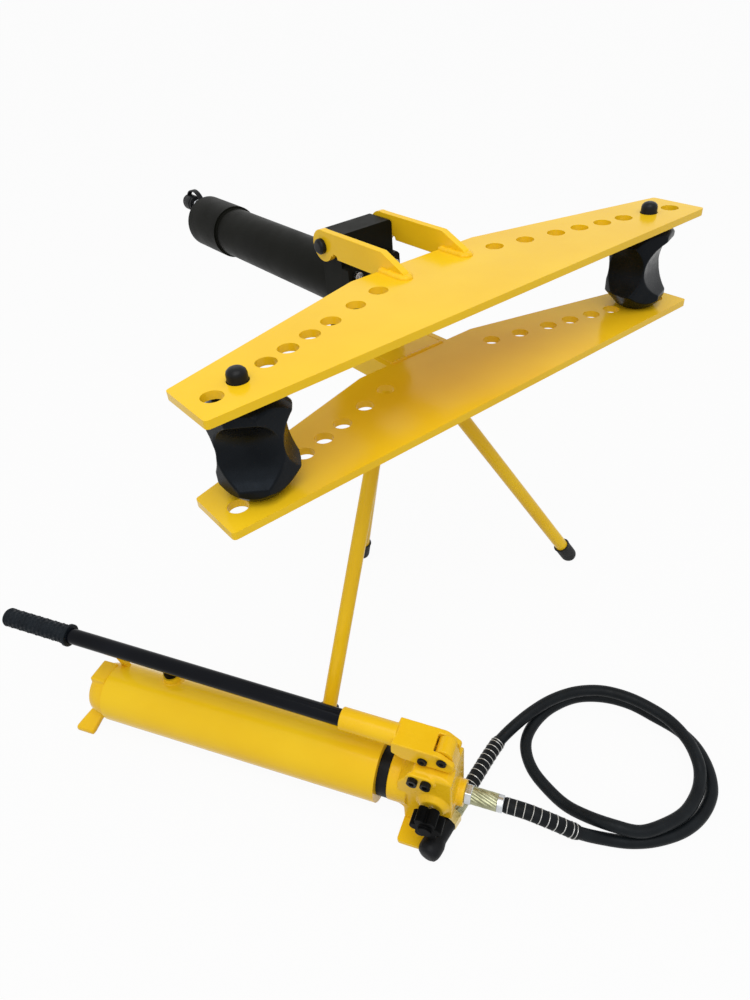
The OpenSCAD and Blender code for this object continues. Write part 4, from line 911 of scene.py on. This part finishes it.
# Lever
# A cast fork with a socket for the handle tube turns on a pin in the head's lug, and a second pin
# works the plunger through its slotted eye. The fork is painted, and the pins are blacked.
pivot = Vector((0.584, 0, 0.154))
plunger_pin = Vector((0.557, 0, 0.145))
lever_form = fine_grained(copied("lever_beam"), voxel=0.0009, rounds=7, frame=pump_frame)
settle(as_piece("cast_lever_fork", lever_form), "lever", "yellow_paint", cast_enamel, "lever_beam")
pin_r = 0.004
pin_head_r = 0.007
pin_head_t = 0.003
pin_length = 0.046
pin_steps = 48
socket_across = 0.006
socket_depth = 0.0022


def socket_head(radius, height, across, depth, frame):
    """A round screw head with a hexagonal socket sunk into its face."""
    shape = bmesh.new()
    bmesh.ops.create_circle(shape, cap_ends=True, radius=radius, segments=pin_steps)
    side = bmesh.ops.extrude_face_region(shape, geom=shape.faces[:])
    top = [g for g in side["geom"] if isinstance(g, bmesh.types.BMVert)]
    bmesh.ops.translate(shape, vec=(0, 0, height), verts=top)
    cap = [f for f in shape.faces if all(v in top for v in f.verts)]
    bmesh.ops.delete(shape, geom=cap, context="FACES_ONLY")
    outer = [e for e in shape.edges if all(v in top for v in e.verts)]
    hexagon_r = across / 2 / math.cos(math.radians(30))
    well = bmesh.ops.create_circle(
        shape, cap_ends=False, radius=hexagon_r, segments=6, matrix=Matrix.Translation((0, 0, height))
    )["verts"]
    inner = [e for e in shape.edges if all(v in well for v in e.verts)]
    bmesh.ops.bridge_loops(shape, edges=outer + inner)
    sunk = bmesh.ops.extrude_edge_only(shape, edges=inner)
    deep = [g for g in sunk["geom"] if isinstance(g, bmesh.types.BMVert)]
    sunk_edges = [g for g in sunk["geom"] if isinstance(g, bmesh.types.BMEdge)]
    bottom = [e for e in sunk_edges if all(v in deep for v in e.verts)]
    bmesh.ops.translate(shape, vec=(0, 0, -depth), verts=deep)
    bmesh.ops.contextual_create(shape, geom=bottom)
    bmesh.ops.recalc_face_normals(shape, faces=shape.faces)
    bmesh.ops.transform(shape, matrix=frame, verts=shape.verts)
    return shape


cheek_outer = 0.022
shank_profile = [
    (0, -pin_length), (pin_r - fine_edge, -pin_length), (pin_r, -pin_length + fine_edge), (pin_r, 0), (0, 0)
]
to_front = Matrix.Rotation(math.radians(90), 4, "X")
pin_shapes = []
for pin in (pivot, plunger_pin):
    face_frame = pump_frame @ Matrix.Translation((pin.x, -cheek_outer, pin.z)) @ to_front
    pin_shapes.append(socket_head(pin_head_r, pin_head_t, socket_across, socket_depth, face_frame))
    pin_shapes.append(turned(shank_profile, face_frame, pin_steps))
pins = as_piece("socket_head_pins", joined(pin_shapes), fine_edge)
settle(pins, "lever", "black_paint", blacked_steel, "lever_pins")
eased("pump_plunger", "ground", fine_edge, "plunger", "steel", ground_steel)

# Handle
# A steel tube, painted gloss black, pushed into the fork's socket, with a moulded rubber grip that
# has a flange at its inner end and rows of raised ribs.
gloss_black = finish(
    "gloss_black", deep=(0.0026, 0.0031, 0.0048), bright=(0.0052, 0.0062, 0.0090), patch=10,
    gloss=(0.15, 0.23), grain=700, relief=(0.08, 0.0003), shine=0.09,
)
handle_rise = math.radians(2.4)
handle_drop = 0.001
past_tank = 0.163
lever_l = (pivot.x + past_tank) / math.cos(handle_rise)
lever_frame = pump_frame @ Matrix.Translation(pivot) @ Matrix.Rotation(handle_rise, 4, "Y")


def along_handle(distance):
    """A frame on the handle's axis, pointing away from the pivot."""
    outwards = Matrix.Rotation(math.radians(-90), 4, "Y")
    return lever_frame @ Matrix.Translation((-distance, 0, -handle_drop)) @ outwards


handle_r = 0.0125
handle_steps = 96
fork_l = 0.069
sleeve_l = 0.084
tube_in_sleeve = 0.040
grip_wall = 0.005
handle_from = fork_l + sleeve_l - tube_in_sleeve
tube_l = lever_l - handle_from - grip_wall
tube_profile = [(0, 0), (handle_r, 0), (handle_r, tube_l), (0, tube_l)]
handle = as_piece("painted_handle", turned(tube_profile, along_handle(handle_from), handle_steps))
settle(handle, "lever", "black_paint", gloss_black, "handle_tube")
grip_l = 0.126
grip_r = 0.0156
grip_steps = 108
grip_ribs = 14
grip_plain = 0.012
rib_from = 0.0075
rib_depth = 0.0014
rib_pitch = (grip_l - grip_plain) / grip_ribs
rib_shape = [(rib_depth, 0), (rib_depth, 0.35), (0.0003, 0.5), (0, 0.62), (0.0001, 0.78), (0.0012, 0.92)]
grip_profile = [
    (handle_r, 0), (0.0172, 0), (0.0181, 0.001), (0.0181, 0.005), (0.0172, 0.006), (0.0148, 0.0062)
]
for rib in range(grip_ribs):
    low = rib_from + rib_pitch * rib
    grip_profile += [(grip_r - sunk, low + share * rib_pitch) for sunk, share in rib_shape]
grip_profile += [
    (grip_r - 0.0005, grip_l - 0.0045), (grip_r, grip_l - 0.003), (grip_r - 0.0012, grip_l - 0.0008),
    (grip_r - 0.004, grip_l), (0, grip_l - 0.0004),
]
grip_rubber = finish(
    "grip_rubber", deep=(0.0056, 0.0082, 0.0116), bright=(0.0090, 0.0128, 0.0172), patch=46,
    gloss=(0.42, 0.58), grain=1100, relief=(0.3, 0.0004), shine=0.11,
)
grip_shape = turned(grip_profile, Matrix.Identity(4), grip_steps)
pads_round = 9
pads_from = 0.0072
pads_to = grip_l - 0.0055
pad_low_share = 0.35
pad_slope = 1.1
for v in grip_shape.verts:
    out = v.co.xy.length
    rib_height = out - (grip_r - rib_depth)
    if pads_from < v.co.z < pads_to and rib_height > 0:
        rib = int((v.co.z - rib_from) / rib_pitch)
        turn = pads_round * math.atan2(v.co.y, v.co.x) + math.pi * (rib % 2)
        pad = min(1.0, pad_low_share + pad_slope * (0.5 + 0.5 * math.cos(turn)))
        v.co.xy *= (grip_r - rib_depth + rib_height * pad) / out
bmesh.ops.transform(grip_shape, matrix=along_handle(lever_l - grip_l), verts=grip_shape.verts)
settle(as_piece("ribbed_grip", grip_shape), "lever", "rubber", grip_rubber, "handle_grip")

size = {"cad": [list(v) for v in cad_box], "visual": [list(v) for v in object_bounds()]}
